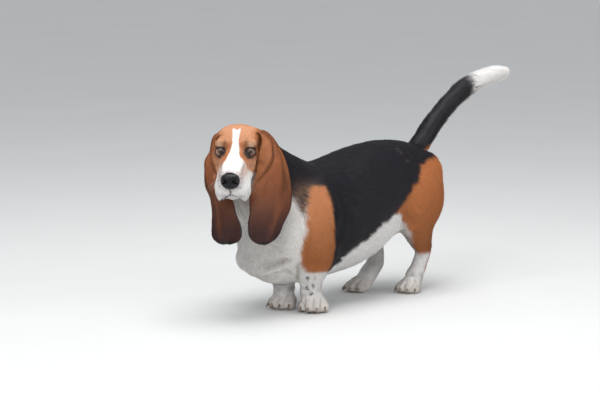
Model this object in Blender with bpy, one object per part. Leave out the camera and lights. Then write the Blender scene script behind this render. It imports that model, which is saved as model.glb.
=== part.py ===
"""A life-size standing basset hound, as a still museum model.

The dog faces -Y, its left side is +X and +Z is up. It stands on flat soles at z = 0, and once every
piece is made, all of them are moved together so that the origin is the bottom centre of their box.
Sizes are metres, for a hound 0.35 m high at the withers.

The flesh is shaped as one closed skin. Lofts and ellipsoids give the masses of the body, a fine grid
fuses them, and a smoothing pass rounds the places where they meet. Thin cuts then part the skin into
named pieces, and the nose, eyes, lids, ears and claws are set into it or on it.
"""

from math import cos, pi, radians, sin

import bmesh
import bpy
import numpy as np
from mathutils import Matrix, Vector

# The gap between touching pieces
GAP = 0.0003

# The fusing grid, and how many times the points are evened out, all over and again on the broad body
GRID = 0.0035
ROUNDING = 6
BODY_ROUNDING = 30

# The share of faces that stays when they are thinned out. The body thins more readily than the rest:
# the rest has this share of its weight, at this strength.
FACES_KEPT = 0.029
FINE_SHARE = 0.5
FINE_STRENGTH = 0.008

# A block under z = 0 cuts the soles flat
FLOOR_SIZE = (1.0, 1.4, 0.060)

# Edges sharper than this stay sharp in the shading
SHARP_ANGLE = radians(40)

# Above the first height and ahead of the tail, the forms of the body are broad
PAW_TOP = 0.060
TAIL_BASE_Y = 0.300

# The head looks to the dog's left and a little down. Its frame starts midway between the pupils.
HEAD_AT = Vector((0.040, -0.385, 0.394))
HEAD_TURN = radians(38)
HEAD_NOD = radians(10)
HEAD_UPRIGHT = Matrix.Translation(HEAD_AT) @ Matrix.Rotation(HEAD_TURN, 4, "Z")
HEAD = HEAD_UPRIGHT @ Matrix.Rotation(HEAD_NOD, 4, "X")

# Eyes: radius, place in the head's frame, lid thickness and the half sizes of the opening
EYE_RADIUS = 0.0112
EYE_AT = (0.0340, -0.0035, 0.0000)
EYE_TURN_OUT = radians(14)
LID = 0.0024
LID_OPENING = (0.0104, 0.0088)

# Ear leather and claws
EAR_THICKNESS = 0.0050
CLAW_LENGTH = 0.0110
CLAW_RADIUS = 0.0036

# Where each foot stands: the middle of the paw on the floor, how far its toes turn out, and its size
FEET = {
    "forepaw_left": ((0.072, -0.160), radians(38), 1.00),
    "forepaw_right": ((-0.012, -0.174), radians(14), 0.95),
    "hindpaw_left": ((0.056, 0.197), radians(18), 0.86),
    "hindpaw_right": ((-0.045, 0.124), radians(-8), 0.86),
}


def clear_scene():
    for thing in list(bpy.data.objects):
        bpy.data.objects.remove(thing)


# Shapes

def signed_power(value, power):
    return np.sign(value) * np.abs(value) ** power


def smooth_rows(rows, steps):
    """A Catmull-Rom curve drawn through rows of sizes, with this many steps between two rows."""
    rows = np.asarray(rows, float)
    before = np.vstack([2 * rows[0] - rows[1], rows[:-1]])
    after = np.vstack([rows[1:], 2 * rows[-1] - rows[-2]])
    further = np.vstack([after[1:], 2 * after[-1] - rows[-1]])
    t = (np.arange(steps) / steps)[None, :, None]
    a, b, c, d = (part[:-1, None, :] for part in (before, rows, after, further))
    curve = 0.5 * (
        2 * b + (c - a) * t + (2 * a - 5 * b + 4 * c - d) * t**2 + (3 * b - a - 3 * c + d) * t**3
    )
    return np.vstack([curve.reshape(-1, rows.shape[1]), rows[-1:]])


def oval(half_width, rise, drop, squareness, sides):
    """A ring that is rounder or squarer, with its own height above and below its widest level."""
    turn = np.arange(sides) * 2 * pi / sides
    across = half_width * signed_power(np.cos(turn), 2 / squareness)
    up = signed_power(np.sin(turn), 2 / squareness)
    return across, np.where(up > 0, rise, drop) * up


def bridge(bm, rings):
    """A closed body through rings of equal count, with both its ends filled."""
    rows = [[bm.verts.new(point) for point in ring] for ring in rings]
    count = len(rows[0])
    for low, high in zip(rows, rows[1:]):
        for i in range(count):
            j = (i + 1) % count
            bm.faces.new((low[i], low[j], high[j], high[i]))
    bm.faces.new(rows[0][::-1])
    bm.faces.new(rows[-1])


def trunk(bm, rows, steps=4, sides=40, place=Matrix()):
    """A loft along Y. A row is y, its middle x, its top, its bottom, its half width, its widest level
    and its squareness."""
    rings = []
    for y, x, top, bottom, half_width, widest, squareness in smooth_rows(rows, steps):
        across, up = oval(half_width, top - widest, widest - bottom, squareness, sides)
        rings.append([place @ Vector((x + a, y, widest + u)) for a, u in zip(across, up)])
    bridge(bm, rings)


def limb_rings(rows, side_axis=(1, 0, 0), steps=4, sides=24):
    """Rings along a bent path. A row is x, y, z, the half width along side_axis and the half depth."""
    path = smooth_rows(rows, steps)
    points = path[:, :3]
    along = np.gradient(points, axis=0)
    rings = []
    for point, tangent, (half_width, half_depth) in zip(points, along, path[:, 3:5]):
        tangent = Vector(tangent).normalized()
        across = Vector(side_axis)
        across = (across - tangent * across.dot(tangent)).normalized()
        other = tangent.cross(across)
        a, u = oval(half_width, half_depth, half_depth, 2.0, sides)
        rings.append([Vector(point) + across * i + other * j for i, j in zip(a, u)])
    return rings


def rounded_end(rings):
    """Three smaller rings that close the first ring's end with a dome."""
    middle = sum(rings[0], Vector()) / len(rings[0])
    outward = (middle - sum(rings[1], Vector()) / len(rings[1])).normalized()
    reach = min((point - middle).length for point in rings[0])
    dome = []
    for angle in (75, 50, 25):
        shrink = cos(radians(angle))
        lift = outward * reach * sin(radians(angle))
        dome.append([middle + (point - middle) * shrink + lift for point in rings[0]])
    return dome


def limb(bm, rows, side_axis=(1, 0, 0), steps=4, sides=24, place=Matrix()):
    """A loft along a bent path with domed ends."""
    rings = limb_rings(rows, side_axis, steps, sides)
    rings = rounded_end(rings) + rings + rounded_end(rings[::-1])[::-1]
    bridge(bm, [[place @ point for point in ring] for ring in rings])


def ball(bm, middle, radii, turn=(0, 0, 0), place=Matrix(), finer=3):
    """An ellipsoid, turned by angles about X, Y and Z in degrees."""
    spin = Matrix.Identity(4)
    for angle, axis in zip(turn, "XYZ"):
        spin = Matrix.Rotation(radians(angle), 4, axis) @ spin
    matrix = place @ Matrix.Translation(middle) @ spin @ Matrix.Diagonal((*radii, 1))
    bmesh.ops.create_icosphere(bm, subdivisions=finer, radius=1.0, matrix=matrix)


def shape_object(name, *builders):
    """An object whose mesh is what the builders add to it, with every face turned outward."""
    bm = bmesh.new()
    for build in builders:
        build(bm)
    bmesh.ops.recalc_face_normals(bm, faces=bm.faces)
    mesh = bpy.data.meshes.new(name)
    bm.to_mesh(mesh)
    bm.free()
    thing = bpy.data.objects.new(name, mesh)
    bpy.context.scene.collection.objects.link(thing)
    return thing


def apply_modifiers(thing):
    rough = thing.data
    graph = bpy.context.evaluated_depsgraph_get()
    finished = bpy.data.meshes.new_from_object(thing.evaluated_get(graph))
    thing.modifiers.clear()
    thing.data = finished
    bpy.data.meshes.remove(rough)


def carve(thing, tool, operation="DIFFERENCE", solver="EXACT"):
    """Cuts a tool's shape out of a thing, or joins it to the thing."""
    modifier = thing.modifiers.new("carve", "BOOLEAN")
    modifier.operation = operation
    modifier.object = tool
    modifier.solver = solver
    apply_modifiers(thing)
    bpy.data.objects.remove(tool)


# Torso

TORSO_ROWS = (
    # y, x, top, bottom, half width, widest level, squareness
    (-0.302, 0.002, 0.232, 0.178, 0.025, 0.205, 2.0),
    (-0.292, 0.002, 0.255, 0.150, 0.055, 0.205, 2.0),
    (-0.272, 0.002, 0.285, 0.116, 0.082, 0.205, 2.1),
    (-0.235, 0.001, 0.315, 0.082, 0.102, 0.208, 2.2),
    (-0.190, 0.000, 0.332, 0.066, 0.113, 0.212, 2.2),
    (-0.130, 0.000, 0.340, 0.064, 0.119, 0.214, 2.2),
    (-0.060, 0.000, 0.341, 0.068, 0.122, 0.212, 2.1),
    (0.010, 0.000, 0.354, 0.077, 0.123, 0.214, 2.1),
    (0.070, 0.000, 0.366, 0.094, 0.117, 0.226, 2.1),
    (0.130, 0.000, 0.372, 0.124, 0.106, 0.246, 2.1),
    (0.190, 0.000, 0.370, 0.154, 0.100, 0.262, 2.2),
    (0.238, 0.000, 0.361, 0.178, 0.092, 0.268, 2.2),
    (0.270, 0.000, 0.344, 0.198, 0.076, 0.270, 2.1),
    (0.289, 0.000, 0.321, 0.222, 0.050, 0.268, 2.0),
    (0.295, 0.000, 0.300, 0.242, 0.022, 0.268, 2.0),
)
SHOULDER_ROWS = (
    (0.062, -0.112, 0.290, 0.024, 0.046),
    (0.092, -0.146, 0.250, 0.036, 0.060),
    (0.100, -0.176, 0.205, 0.038, 0.060),
    (0.098, -0.163, 0.160, 0.036, 0.052),
)
THIGH_ROWS = (
    (0.052, 0.204, 0.300, 0.032, 0.058),
    (0.072, 0.208, 0.270, 0.040, 0.079),
    (0.082, 0.203, 0.225, 0.040, 0.083),
    (0.082, 0.194, 0.185, 0.036, 0.064),
)


def mirrored(rows, side):
    return [(side * row[0], *row[1:]) for row in rows]


def torso_masses(bm):
    trunk(bm, TORSO_ROWS)
    for side in (1, -1):
        limb(bm, mirrored(SHOULDER_ROWS, side))
        limb(bm, mirrored(THIGH_ROWS, side))
        # pad of the rump beside the tail
        ball(bm, (0.050 * side, 0.255, 0.283), (0.048, 0.047, 0.062))
    # breastbone keel, and the loose skin that hangs in a fold before the forelegs
    ball(bm, (0.0, -0.190, 0.112), (0.060, 0.090, 0.052))
    ball(bm, (-0.012, -0.255, 0.125), (0.074, 0.034, 0.042))


# Neck and head

NECK_ROWS = (
    (0.000, -0.115, 0.250, 0.088, 0.088),
    (0.000, -0.185, 0.280, 0.080, 0.086),
    (0.002, -0.243, 0.318, 0.069, 0.077),
    (0.004, -0.286, 0.358, 0.059, 0.066),
    (0.006, -0.312, 0.388, 0.050, 0.054),
)
DEWLAP_ROWS = (
    (0.020, -0.345, 0.325, 0.020, 0.030),
    (0.012, -0.310, 0.280, 0.024, 0.042),
    (0.004, -0.275, 0.235, 0.026, 0.042),
)
HEAD_ROWS = (
    # y, x, top, bottom, half width, widest level, squareness, in the head's frame
    (-0.121, 0.0, -0.020, -0.056, 0.017, -0.038, 2.2),
    (-0.115, 0.0, -0.015, -0.068, 0.027, -0.041, 2.3),
    (-0.100, 0.0, -0.011, -0.078, 0.034, -0.048, 2.4),
    (-0.078, 0.0, -0.006, -0.084, 0.037, -0.054, 2.5),
    (-0.052, 0.0, 0.000, -0.082, 0.038, -0.052, 2.5),
    (-0.030, 0.0, 0.008, -0.078, 0.041, -0.044, 2.4),
    (-0.012, 0.0, 0.020, -0.072, 0.046, -0.032, 2.3),
    (0.006, 0.0, 0.034, -0.066, 0.051, -0.014, 2.3),
    (0.030, 0.0, 0.045, -0.060, 0.055, -0.002, 2.3),
    (0.060, 0.0, 0.047, -0.050, 0.056, 0.000, 2.2),
    (0.088, 0.0, 0.040, -0.036, 0.049, 0.002, 2.1),
    (0.106, 0.0, 0.026, -0.016, 0.030, 0.006, 2.0),
    (0.112, 0.0, 0.016, -0.002, 0.014, 0.006, 2.0),
)


def neck_masses(bm):
    limb(bm, NECK_ROWS)
    limb(bm, DEWLAP_ROWS)
    # loose skin of the throat on the side that the head turns away from
    ball(bm, (-0.025, -0.305, 0.275), (0.036, 0.032, 0.050))


def head_masses(bm):
    trunk(bm, HEAD_ROWS, place=HEAD)
    for side in (1, -1):
        # flews, brow, cheek and the muscle before the ear
        ball(bm, (0.0245 * side, -0.072, -0.064), (0.0170, 0.041, 0.032), place=HEAD)
        ball(bm, (0.033 * side, 0.000, 0.017), (0.017, 0.015, 0.010), place=HEAD)
        ball(bm, (0.040 * side, 0.020, -0.020), (0.017, 0.034, 0.022), place=HEAD)
        ball(bm, (0.040 * side, 0.045, 0.004), (0.018, 0.030, 0.028), place=HEAD)
    # root of the left ear, which the dog carries higher than the right
    ball(bm, (0.034, 0.046, 0.021), (0.026, 0.034, 0.023), place=HEAD)
    # lower jaw
    ball(bm, (0.0, -0.062, -0.080), (0.020, 0.042, 0.016), place=HEAD)


# Legs and paws, from the top down

FORELEG_ROWS = {
    1: (
        (0.098, -0.146, 0.170, 0.034, 0.046),
        (0.086, -0.148, 0.128, 0.032, 0.039),
        (0.066, -0.157, 0.085, 0.028, 0.031),
        (0.058, -0.155, 0.055, 0.0255, 0.0275),
        (0.060, -0.153, 0.030, 0.026, 0.028),
        (0.066, -0.153, 0.006, 0.027, 0.031),
    ),
    -1: (
        (-0.096, -0.150, 0.170, 0.034, 0.046),
        (-0.080, -0.152, 0.128, 0.032, 0.039),
        (-0.046, -0.158, 0.085, 0.028, 0.031),
        (-0.022, -0.163, 0.055, 0.0250, 0.0270),
        (-0.017, -0.169, 0.030, 0.025, 0.027),
        (-0.015, -0.170, 0.006, 0.026, 0.030),
    ),
}
HINDLEG_ROWS = {
    1: (
        (0.084, 0.190, 0.225, 0.038, 0.072),
        (0.082, 0.196, 0.180, 0.034, 0.058),
        (0.075, 0.218, 0.135, 0.026, 0.038),
        (0.067, 0.238, 0.100, 0.0200, 0.0240),
        (0.061, 0.226, 0.062, 0.0195, 0.0215),
        (0.057, 0.212, 0.030, 0.021, 0.025),
        (0.056, 0.204, 0.006, 0.024, 0.028),
    ),
    -1: (
        (-0.084, 0.178, 0.225, 0.038, 0.072),
        (-0.081, 0.166, 0.180, 0.034, 0.060),
        (-0.074, 0.184, 0.130, 0.026, 0.042),
        (-0.066, 0.208, 0.092, 0.0210, 0.0270),
        (-0.059, 0.204, 0.064, 0.0205, 0.0240),
        (-0.052, 0.170, 0.036, 0.021, 0.024),
        (-0.046, 0.138, 0.016, 0.024, 0.022),
    ),
}
TOES = (
    # sideways, forward, half width, half length, half height
    (-0.0275, 0.009, 0.0115, 0.0185, 0.0150),
    (-0.0102, 0.022, 0.0118, 0.0205, 0.0165),
    (0.0102, 0.022, 0.0118, 0.0205, 0.0165),
    (0.0275, 0.009, 0.0115, 0.0185, 0.0150),
)
TOE_SINK = 0.0015


def leg_masses(bm):
    for side in (1, -1):
        limb(bm, FORELEG_ROWS[side])
        limb(bm, HINDLEG_ROWS[side])


def paw_place(name):
    spot, toe_out, size = FEET[name]
    return Matrix.Translation((*spot, 0)) @ Matrix.Rotation(toe_out, 4, "Z") @ Matrix.Scale(size, 4)


def paw_masses(bm):
    for name in FEET:
        place = paw_place(name)
        ball(bm, (0, 0.004, 0.017), (0.033, 0.034, 0.027), place=place)
        for sideways, forward, half_width, half_length, half_height in TOES:
            middle = (sideways, -forward, half_height - TOE_SINK)
            ball(bm, middle, (half_width, half_length, half_height), place=place)


# Tail

TAIL_ROWS = (
    (0.000, 0.250, 0.310, 0.030, 0.034),
    (0.002, 0.290, 0.345, 0.0240, 0.0270),
    (0.004, 0.340, 0.396, 0.0210, 0.0235),
    (0.008, 0.392, 0.440, 0.0200, 0.0225),
    (0.014, 0.444, 0.476, 0.0190, 0.0225),
    (0.020, 0.500, 0.498, 0.0175, 0.0215),
    (0.026, 0.550, 0.508, 0.0165, 0.0195),
    (0.030, 0.588, 0.512, 0.0135, 0.0155),
)


def tail_masses(bm):
    limb(bm, TAIL_ROWS, sides=16)


def flesh_object():
    """The whole skin in one closed surface, before it is parted."""
    flesh = shape_object(
        "flesh", torso_masses, neck_masses, head_masses, leg_masses, paw_masses, tail_masses
    )
    fuse = flesh.modifiers.new("fuse", "REMESH")
    fuse.mode = "VOXEL"
    fuse.voxel_size = GRID
    apply_modifiers(flesh)
    broad = soften(flesh)
    thinned = flesh.vertex_groups.new(name="thinned")
    thinned.add(range(len(flesh.data.vertices)), FINE_SHARE, "REPLACE")
    thinned.add(broad, 1.0, "REPLACE")
    thinning = flesh.modifiers.new("thin", "DECIMATE")
    thinning.ratio = FACES_KEPT
    thinning.vertex_group = thinned.name
    thinning.vertex_group_factor = FINE_STRENGTH
    apply_modifiers(flesh)
    flesh.vertex_groups.clear()
    carve(flesh, shape_object("floor", lambda bm: block(bm, (0, 0, -FLOOR_SIZE[2] / 2), FLOOR_SIZE)))
    return flesh


def soften(flesh):
    """Rounds the whole skin a little, and the broad forms of the body a good deal more. Returns the
    numbers of the broad forms' points."""
    bm = bmesh.new()
    bm.from_mesh(flesh.data)
    neck = Vector(HEAD_CUT[0])
    forward = Vector(HEAD_CUT[1])
    broad = [
        v for v in bm.verts
        if v.co.z > PAW_TOP and v.co.y < TAIL_BASE_Y and (v.co - neck).dot(forward) < 0
    ]
    for points, times in ((list(bm.verts), ROUNDING), (broad, BODY_ROUNDING)):
        for _ in range(times):
            bmesh.ops.smooth_vert(
                bm, verts=points, factor=0.5, use_axis_x=True, use_axis_y=True, use_axis_z=True
            )
    numbers = [v.index for v in broad]
    bm.to_mesh(flesh.data)
    bm.free()
    return numbers


# Cuts that part the skin. A flat cut is its middle, the way it faces, and its half size.

HEAD_CUT = ((0.004, -0.290, 0.356), (0.0, -0.75, 0.66), 0.125)
NECK_CUT = ((0.0, -0.230, 0.300), (0.0, -0.61, 0.79), 0.160)
TAIL_CUT = ((0.001, 0.296, 0.351), (0.0, 0.70, 0.71), 0.045)
PAW_CUTS = (
    ((0.061, -0.155, 0.038), (0, 0, 1), 0.040),
    ((-0.017, -0.171, 0.036), (0, 0, 1), 0.038),
    ((0.060, 0.216, 0.040), (0, 0, 1), 0.040),
    ((-0.053, 0.166, 0.034), (0.0, 0.80, 0.60), 0.036),
)
# A leg is parted from the body by a deep upturned cup round its upper end
CUP_SIDES = 18
FORELEG_CUPS = {
    1: (
        (0.104, -0.148, 0.196, 0.022, 0.032),
        (0.104, -0.148, 0.176, 0.047, 0.058),
        (0.091, -0.149, 0.130, 0.045, 0.053),
        (0.067, -0.157, 0.085, 0.039, 0.043),
        (0.059, -0.154, 0.046, 0.037, 0.040),
    ),
    -1: (
        (-0.104, -0.152, 0.196, 0.022, 0.032),
        (-0.102, -0.152, 0.176, 0.047, 0.058),
        (-0.084, -0.153, 0.130, 0.045, 0.053),
        (-0.047, -0.159, 0.085, 0.039, 0.043),
        (-0.020, -0.167, 0.041, 0.036, 0.039),
    ),
}
HINDLEG_CUPS = {
    1: (
        (0.086, 0.212, 0.330, 0.022, 0.036),
        (0.092, 0.212, 0.306, 0.050, 0.066),
        (0.094, 0.208, 0.262, 0.056, 0.088),
        (0.092, 0.200, 0.215, 0.053, 0.088),
        (0.084, 0.205, 0.170, 0.046, 0.066),
        (0.076, 0.220, 0.135, 0.038, 0.050),
        (0.069, 0.234, 0.105, 0.034, 0.040),
    ),
    -1: (
        (-0.086, 0.200, 0.330, 0.022, 0.036),
        (-0.092, 0.200, 0.306, 0.050, 0.066),
        (-0.094, 0.196, 0.262, 0.056, 0.088),
        (-0.092, 0.184, 0.215, 0.053, 0.088),
        (-0.084, 0.178, 0.170, 0.046, 0.068),
        (-0.076, 0.188, 0.132, 0.038, 0.054),
        (-0.069, 0.204, 0.102, 0.034, 0.044),
    ),
}
# A point in the middle of each piece that the cuts leave
PIECES = {
    "torso": (0.0, 0.0, 0.220),
    "neck": (0.0, -0.260, 0.320),
    "head": (0.050, -0.400, 0.370),
    "tail": (0.015, 0.440, 0.440),
    "foreleg_left": (0.090, -0.147, 0.115),
    "foreleg_right": (-0.070, -0.155, 0.115),
    "hindleg_left": (0.080, 0.215, 0.185),
    "hindleg_right": (-0.080, 0.190, 0.185),
    "forepaw_left": (0.070, -0.160, 0.020),
    "forepaw_right": (-0.012, -0.174, 0.020),
    "hindpaw_left": (0.056, 0.200, 0.020),
    "hindpaw_right": (-0.047, 0.130, 0.018),
}


def block(bm, middle, size, spin=Matrix()):
    matrix = Matrix.Translation(middle) @ spin @ Matrix.Diagonal((*size, 1))
    bmesh.ops.create_cube(bm, size=1.0, matrix=matrix)


def flat_cut(bm, cut):
    middle, facing, half_size = cut
    spin = Vector(facing).to_track_quat("Z", "Y").to_matrix().to_4x4()
    block(bm, middle, (2 * half_size, 2 * half_size, GAP), spin)


def grid_normals(grid, wraps):
    """The way a grid of points faces at each point, for rows that close on themselves or end at an edge."""
    rows, columns = len(grid), len(grid[0])
    normals = []
    for i in range(rows):
        normals.append([])
        for j in range(columns):
            down = grid[min(i + 1, rows - 1)][j] - grid[max(i - 1, 0)][j]
            if wraps:
                across = grid[i][(j + 1) % columns] - grid[i][j - 1]
            else:
                across = grid[i][min(j + 1, columns - 1)] - grid[i][max(j - 1, 0)]
            normals[i].append(down.cross(across).normalized())
    return normals


def cup_cut(bm, rows):
    """A shell as thin as the gap, closed above and open below, its two faces split alike."""
    outer = limb_rings(rows, steps=2, sides=CUP_SIDES)
    normals = grid_normals(outer, wraps=True)
    middle = sum(outer[1], Vector()) / CUP_SIDES
    inward = -GAP if normals[1][0].dot(outer[1][0] - middle) > 0 else GAP
    inner = [
        [point + normal * inward for point, normal in zip(ring, facing)]
        for ring, facing in zip(outer, normals)
    ]
    lid = (sum(outer[1], Vector()) - sum(outer[0], Vector())).normalized() * GAP
    inner[0] = [point + lid for point in inner[0]]
    sheets = [[[bm.verts.new(point) for point in ring] for ring in rings] for rings in (outer, inner)]
    for j in range(CUP_SIDES):
        k = (j + 1) % CUP_SIDES
        for sheet in sheets:
            for low, high in zip(sheet, sheet[1:]):
                bm.faces.new((low[j], low[k], high[k]))
                bm.faces.new((low[j], high[k], high[j]))
        bm.faces.new((sheets[0][-1][j], sheets[0][-1][k], sheets[1][-1][k], sheets[1][-1][j]))
    for sheet in sheets:
        bm.faces.new(sheet[0])


def part_flesh(flesh):
    """The pieces of the skin, by name. The thin cuts cross, and only the manifold solver clears them."""
    cuts = [lambda bm, cut=cut: flat_cut(bm, cut) for cut in (HEAD_CUT, NECK_CUT, TAIL_CUT)]
    carve(flesh, shape_object("cuts", *cuts), solver="MANIFOLD")
    for side in (1, -1):
        for rows in (FORELEG_CUPS[side], HINDLEG_CUPS[side]):
            carve(flesh, shape_object("cup", lambda bm: cup_cut(bm, rows)), solver="MANIFOLD")
    cuts = [lambda bm, cut=cut: flat_cut(bm, cut) for cut in PAW_CUTS]
    carve(flesh, shape_object("cuts", *cuts), solver="MANIFOLD")
    bodies = loose_bodies(flesh)
    pieces = {}
    for name, spot in PIECES.items():
        nearest = min(bodies, key=lambda body: (body_middle(body) - Vector(spot)).length)
        bodies.remove(nearest)
        nearest.name = name
        pieces[name] = nearest
    for scrap in bodies:
        bpy.data.objects.remove(scrap)
    return pieces


def body_middle(thing):
    corners = np.array([v.co for v in thing.data.vertices])
    return Vector((corners.min(axis=0) + corners.max(axis=0)) / 2)


def loose_bodies(thing):
    """Splits an object into one object for each closed surface, and removes the first."""
    bm = bmesh.new()
    bm.from_mesh(thing.data)
    waiting = set(bm.verts)
    bodies = []
    while waiting:
        front = [waiting.pop()]
        group = set(front)
        while front:
            for edge in front.pop().link_edges:
                for vertex in edge.verts:
                    if vertex not in group:
                        group.add(vertex)
                        front.append(vertex)
        waiting -= group
        order = sorted(group, key=lambda v: v.index)
        place = {v: k for k, v in enumerate(order)}
        faces = [tuple(place[v] for v in face.verts) for face in bm.faces if face.verts[0] in group]
        mesh = bpy.data.meshes.new("body")
        mesh.from_pydata([v.co[:] for v in order], [], faces)
        body = bpy.data.objects.new("body", mesh)
        bpy.context.scene.collection.objects.link(body)
        bodies.append(body)
    bm.free()
    bpy.data.objects.remove(thing)
    return bodies


# Nose

NOSE_ROWS = (
    # y, x, top, bottom, half width, widest level, squareness, in the head's frame
    (-0.1270, 0.0, -0.0250, -0.0460, 0.0100, -0.0330, 2.2),
    (-0.1240, 0.0, -0.0200, -0.0510, 0.0175, -0.0320, 2.4),
    (-0.1170, 0.0, -0.0180, -0.0535, 0.0210, -0.0310, 2.4),
    (-0.1060, 0.0, -0.0200, -0.0520, 0.0195, -0.0320, 2.3),
    (-0.0980, 0.0, -0.0250, -0.0470, 0.0120, -0.0340, 2.2),
)
# Each nostril's middle, half sizes and turn in degrees, and the same for the slit at its side
NOSTRIL = ((0.0092, -0.1265, -0.0330), (0.0034, 0.0065, 0.0048), (0, 20, -15))
NOSTRIL_SLIT = ((0.0155, -0.1240, -0.0375), (0.0062, 0.0060, 0.0014), (0, 25, 0))


def nose_pad(bm, swell=0.0):
    """The pad, or the same shape grown by a swell on every side."""
    rows = []
    for end, (y, x, top, bottom, half_width, widest, squareness) in zip((-1, 0, 0, 0, 1), NOSE_ROWS):
        y += end * swell
        rows.append((y, x, top + swell, bottom - swell, half_width + swell, widest, squareness))
    trunk(bm, rows, steps=2, sides=16, place=HEAD)


def set_nose(head):
    carve(head, shape_object("hollow", lambda bm: nose_pad(bm, GAP)))
    nose = shape_object("nose", nose_pad)
    for side in (1, -1):
        for (x, y, z), radii, turn in (NOSTRIL, NOSTRIL_SLIT):
            turn = (turn[0], turn[1] * side, turn[2] * side)
            hollow = shape_object(
                "nostril", lambda bm: ball(bm, (x * side, y, z), radii, turn, place=HEAD, finer=2)
            )
            carve(nose, hollow)
    return nose


# Mouth: the line between the lips, from one corner round the front to the other, and the groove
# that joins it to the nose. A row is x, y, z, the depth of the cut and its half width.

LIP_LINE = (
    (0.0430, -0.010, -0.050, 0.0060, 0.0010),
    (0.0415, -0.026, -0.064, 0.0080, 0.0011),
    (0.0370, -0.048, -0.083, 0.0090, 0.0012),
    (0.0300, -0.075, -0.091, 0.0090, 0.0012),
    (0.0190, -0.102, -0.084, 0.0080, 0.0012),
    (0.0080, -0.117, -0.071, 0.0070, 0.0012),
)
NOSE_GROOVE = (
    (0.0, -0.1200, -0.050, 0.0045, 0.0009),
    (0.0, -0.1185, -0.062, 0.0050, 0.0010),
    (0.0, -0.1150, -0.074, 0.0050, 0.0010),
)
LIP_FACING = (0.0, -0.45, -0.90)
GROOVE_FACING = (0.0, 1.0, 0.0)


def set_mouth(head):
    line = LIP_LINE + tuple(mirrored(LIP_LINE[::-1], -1))
    for rows, facing in ((line, LIP_FACING), (NOSE_GROOVE, GROOVE_FACING)):
        slit = shape_object("slit", lambda bm: limb(bm, rows, facing, steps=2, sides=8, place=HEAD))
        carve(head, slit)


# Eyes and lids

LID_OPENING_POINTS = 12


def eye_place(side):
    x, y, z = EYE_AT
    return HEAD @ Matrix.Translation((x * side, y, z)) @ Matrix.Rotation(EYE_TURN_OUT * side, 4, "Z")


def globe(bm, radius, place):
    """A ball whose poles point forward and back."""
    spin = Matrix.Rotation(pi / 2, 4, "X")
    bmesh.ops.create_uvsphere(bm, u_segments=16, v_segments=10, radius=radius, matrix=place @ spin)


def almond(bm, place):
    """The opening between the lids, as a pointed oval that runs forward from the middle of the eye."""
    half_width, half_height = LID_OPENING
    outline = []
    for turn in np.arange(LID_OPENING_POINTS) * 2 * pi / LID_OPENING_POINTS:
        rise = np.sign(sin(turn)) * abs(sin(turn)) ** 1.1
        outline.append((half_width * cos(turn), half_height * rise))
    rings = [[place @ Vector((x, y, z)) for x, z in outline] for y in (0.0, -3 * EYE_RADIUS)]
    bridge(bm, rings)


def set_eyes(head):
    """Lids swell round each eye, open in front, and the eye fills the socket behind them. The socket
    runs so close under the lids that only the manifold solver clears it."""
    eyes = {}
    for side, name in ((1, "eye_left"), (-1, "eye_right")):
        place = eye_place(side)
        lids = shape_object("lids", lambda bm: globe(bm, EYE_RADIUS + LID, place))
        opening = shape_object("opening", lambda bm: almond(bm, place))
        socket = shape_object("socket", lambda bm: globe(bm, EYE_RADIUS + GAP, place))
        carve(head, lids, "UNION", "MANIFOLD")
        carve(head, opening, solver="MANIFOLD")
        carve(head, socket, solver="MANIFOLD")
        eyes[name] = shape_object(name, lambda bm: globe(bm, EYE_RADIUS, place))
    return eyes


# Ears, in the upright frame of the head: they hang straight down. A row is z, the front edge's x and
# y, the back edge's x and y, how far the leather bows outward, and how far the front edge rolls in.

EAR_ROWS = {
    1: (
        (0.038, 0.036, 0.020, 0.038, 0.054, 0.000, 0.000),
        (0.042, 0.048, 0.016, 0.054, 0.056, 0.004, 0.000),
        (0.034, 0.058, 0.010, 0.068, 0.057, 0.007, 0.002),
        (0.016, 0.065, 0.003, 0.084, 0.056, 0.012, 0.006),
        (-0.008, 0.068, -0.006, 0.101, 0.050, 0.014, 0.010),
        (-0.040, 0.066, -0.014, 0.114, 0.044, 0.013, 0.012),
        (-0.080, 0.055, -0.022, 0.122, 0.036, 0.011, 0.010),
        (-0.110, 0.044, -0.028, 0.125, 0.030, 0.009, 0.006),
        (-0.138, 0.036, -0.034, 0.121, 0.020, 0.007, 0.003),
        (-0.166, 0.032, -0.036, 0.108, 0.008, 0.006, 0.002),
        (-0.187, 0.034, -0.036, 0.100, 0.002, 0.005, 0.001),
        (-0.200, 0.041, -0.034, 0.090, -0.004, 0.004, 0.000),
        (-0.2080, 0.054, -0.030, 0.078, -0.014, 0.002, 0.000),
    ),
    -1: (
        (0.034, 0.026, 0.018, 0.030, 0.050, 0.000, 0.000),
        (0.036, 0.038, 0.014, 0.042, 0.052, 0.004, 0.000),
        (0.026, 0.046, 0.014, 0.051, 0.054, 0.005, 0.001),
        (0.010, 0.050, 0.014, 0.055, 0.052, 0.006, 0.001),
        (-0.008, 0.052, 0.010, 0.059, 0.050, 0.007, 0.002),
        (-0.032, 0.051, 0.000, 0.072, 0.047, 0.012, 0.006),
        (-0.080, 0.040, -0.016, 0.075, 0.038, 0.011, 0.006),
        (-0.110, 0.018, -0.026, 0.063, 0.028, 0.008, 0.004),
        (-0.138, 0.004, -0.032, 0.057, 0.016, 0.006, 0.002),
        (-0.166, -0.006, -0.036, 0.056, 0.006, 0.005, 0.001),
        (-0.187, -0.008, -0.038, 0.056, 0.000, 0.004, 0.000),
        (-0.200, -0.002, -0.037, 0.052, -0.004, 0.003, 0.000),
        (-0.2080, 0.012, -0.034, 0.041, -0.014, 0.002, 0.000),
    ),
}
EAR_ACROSS = 8
EAR_DOWN = 1
EAR_ROLL_SHARE = 0.28
EAR_FOLD = 0.0070
EAR_FOLD_LEVELS = (0.020, -0.100)


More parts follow.
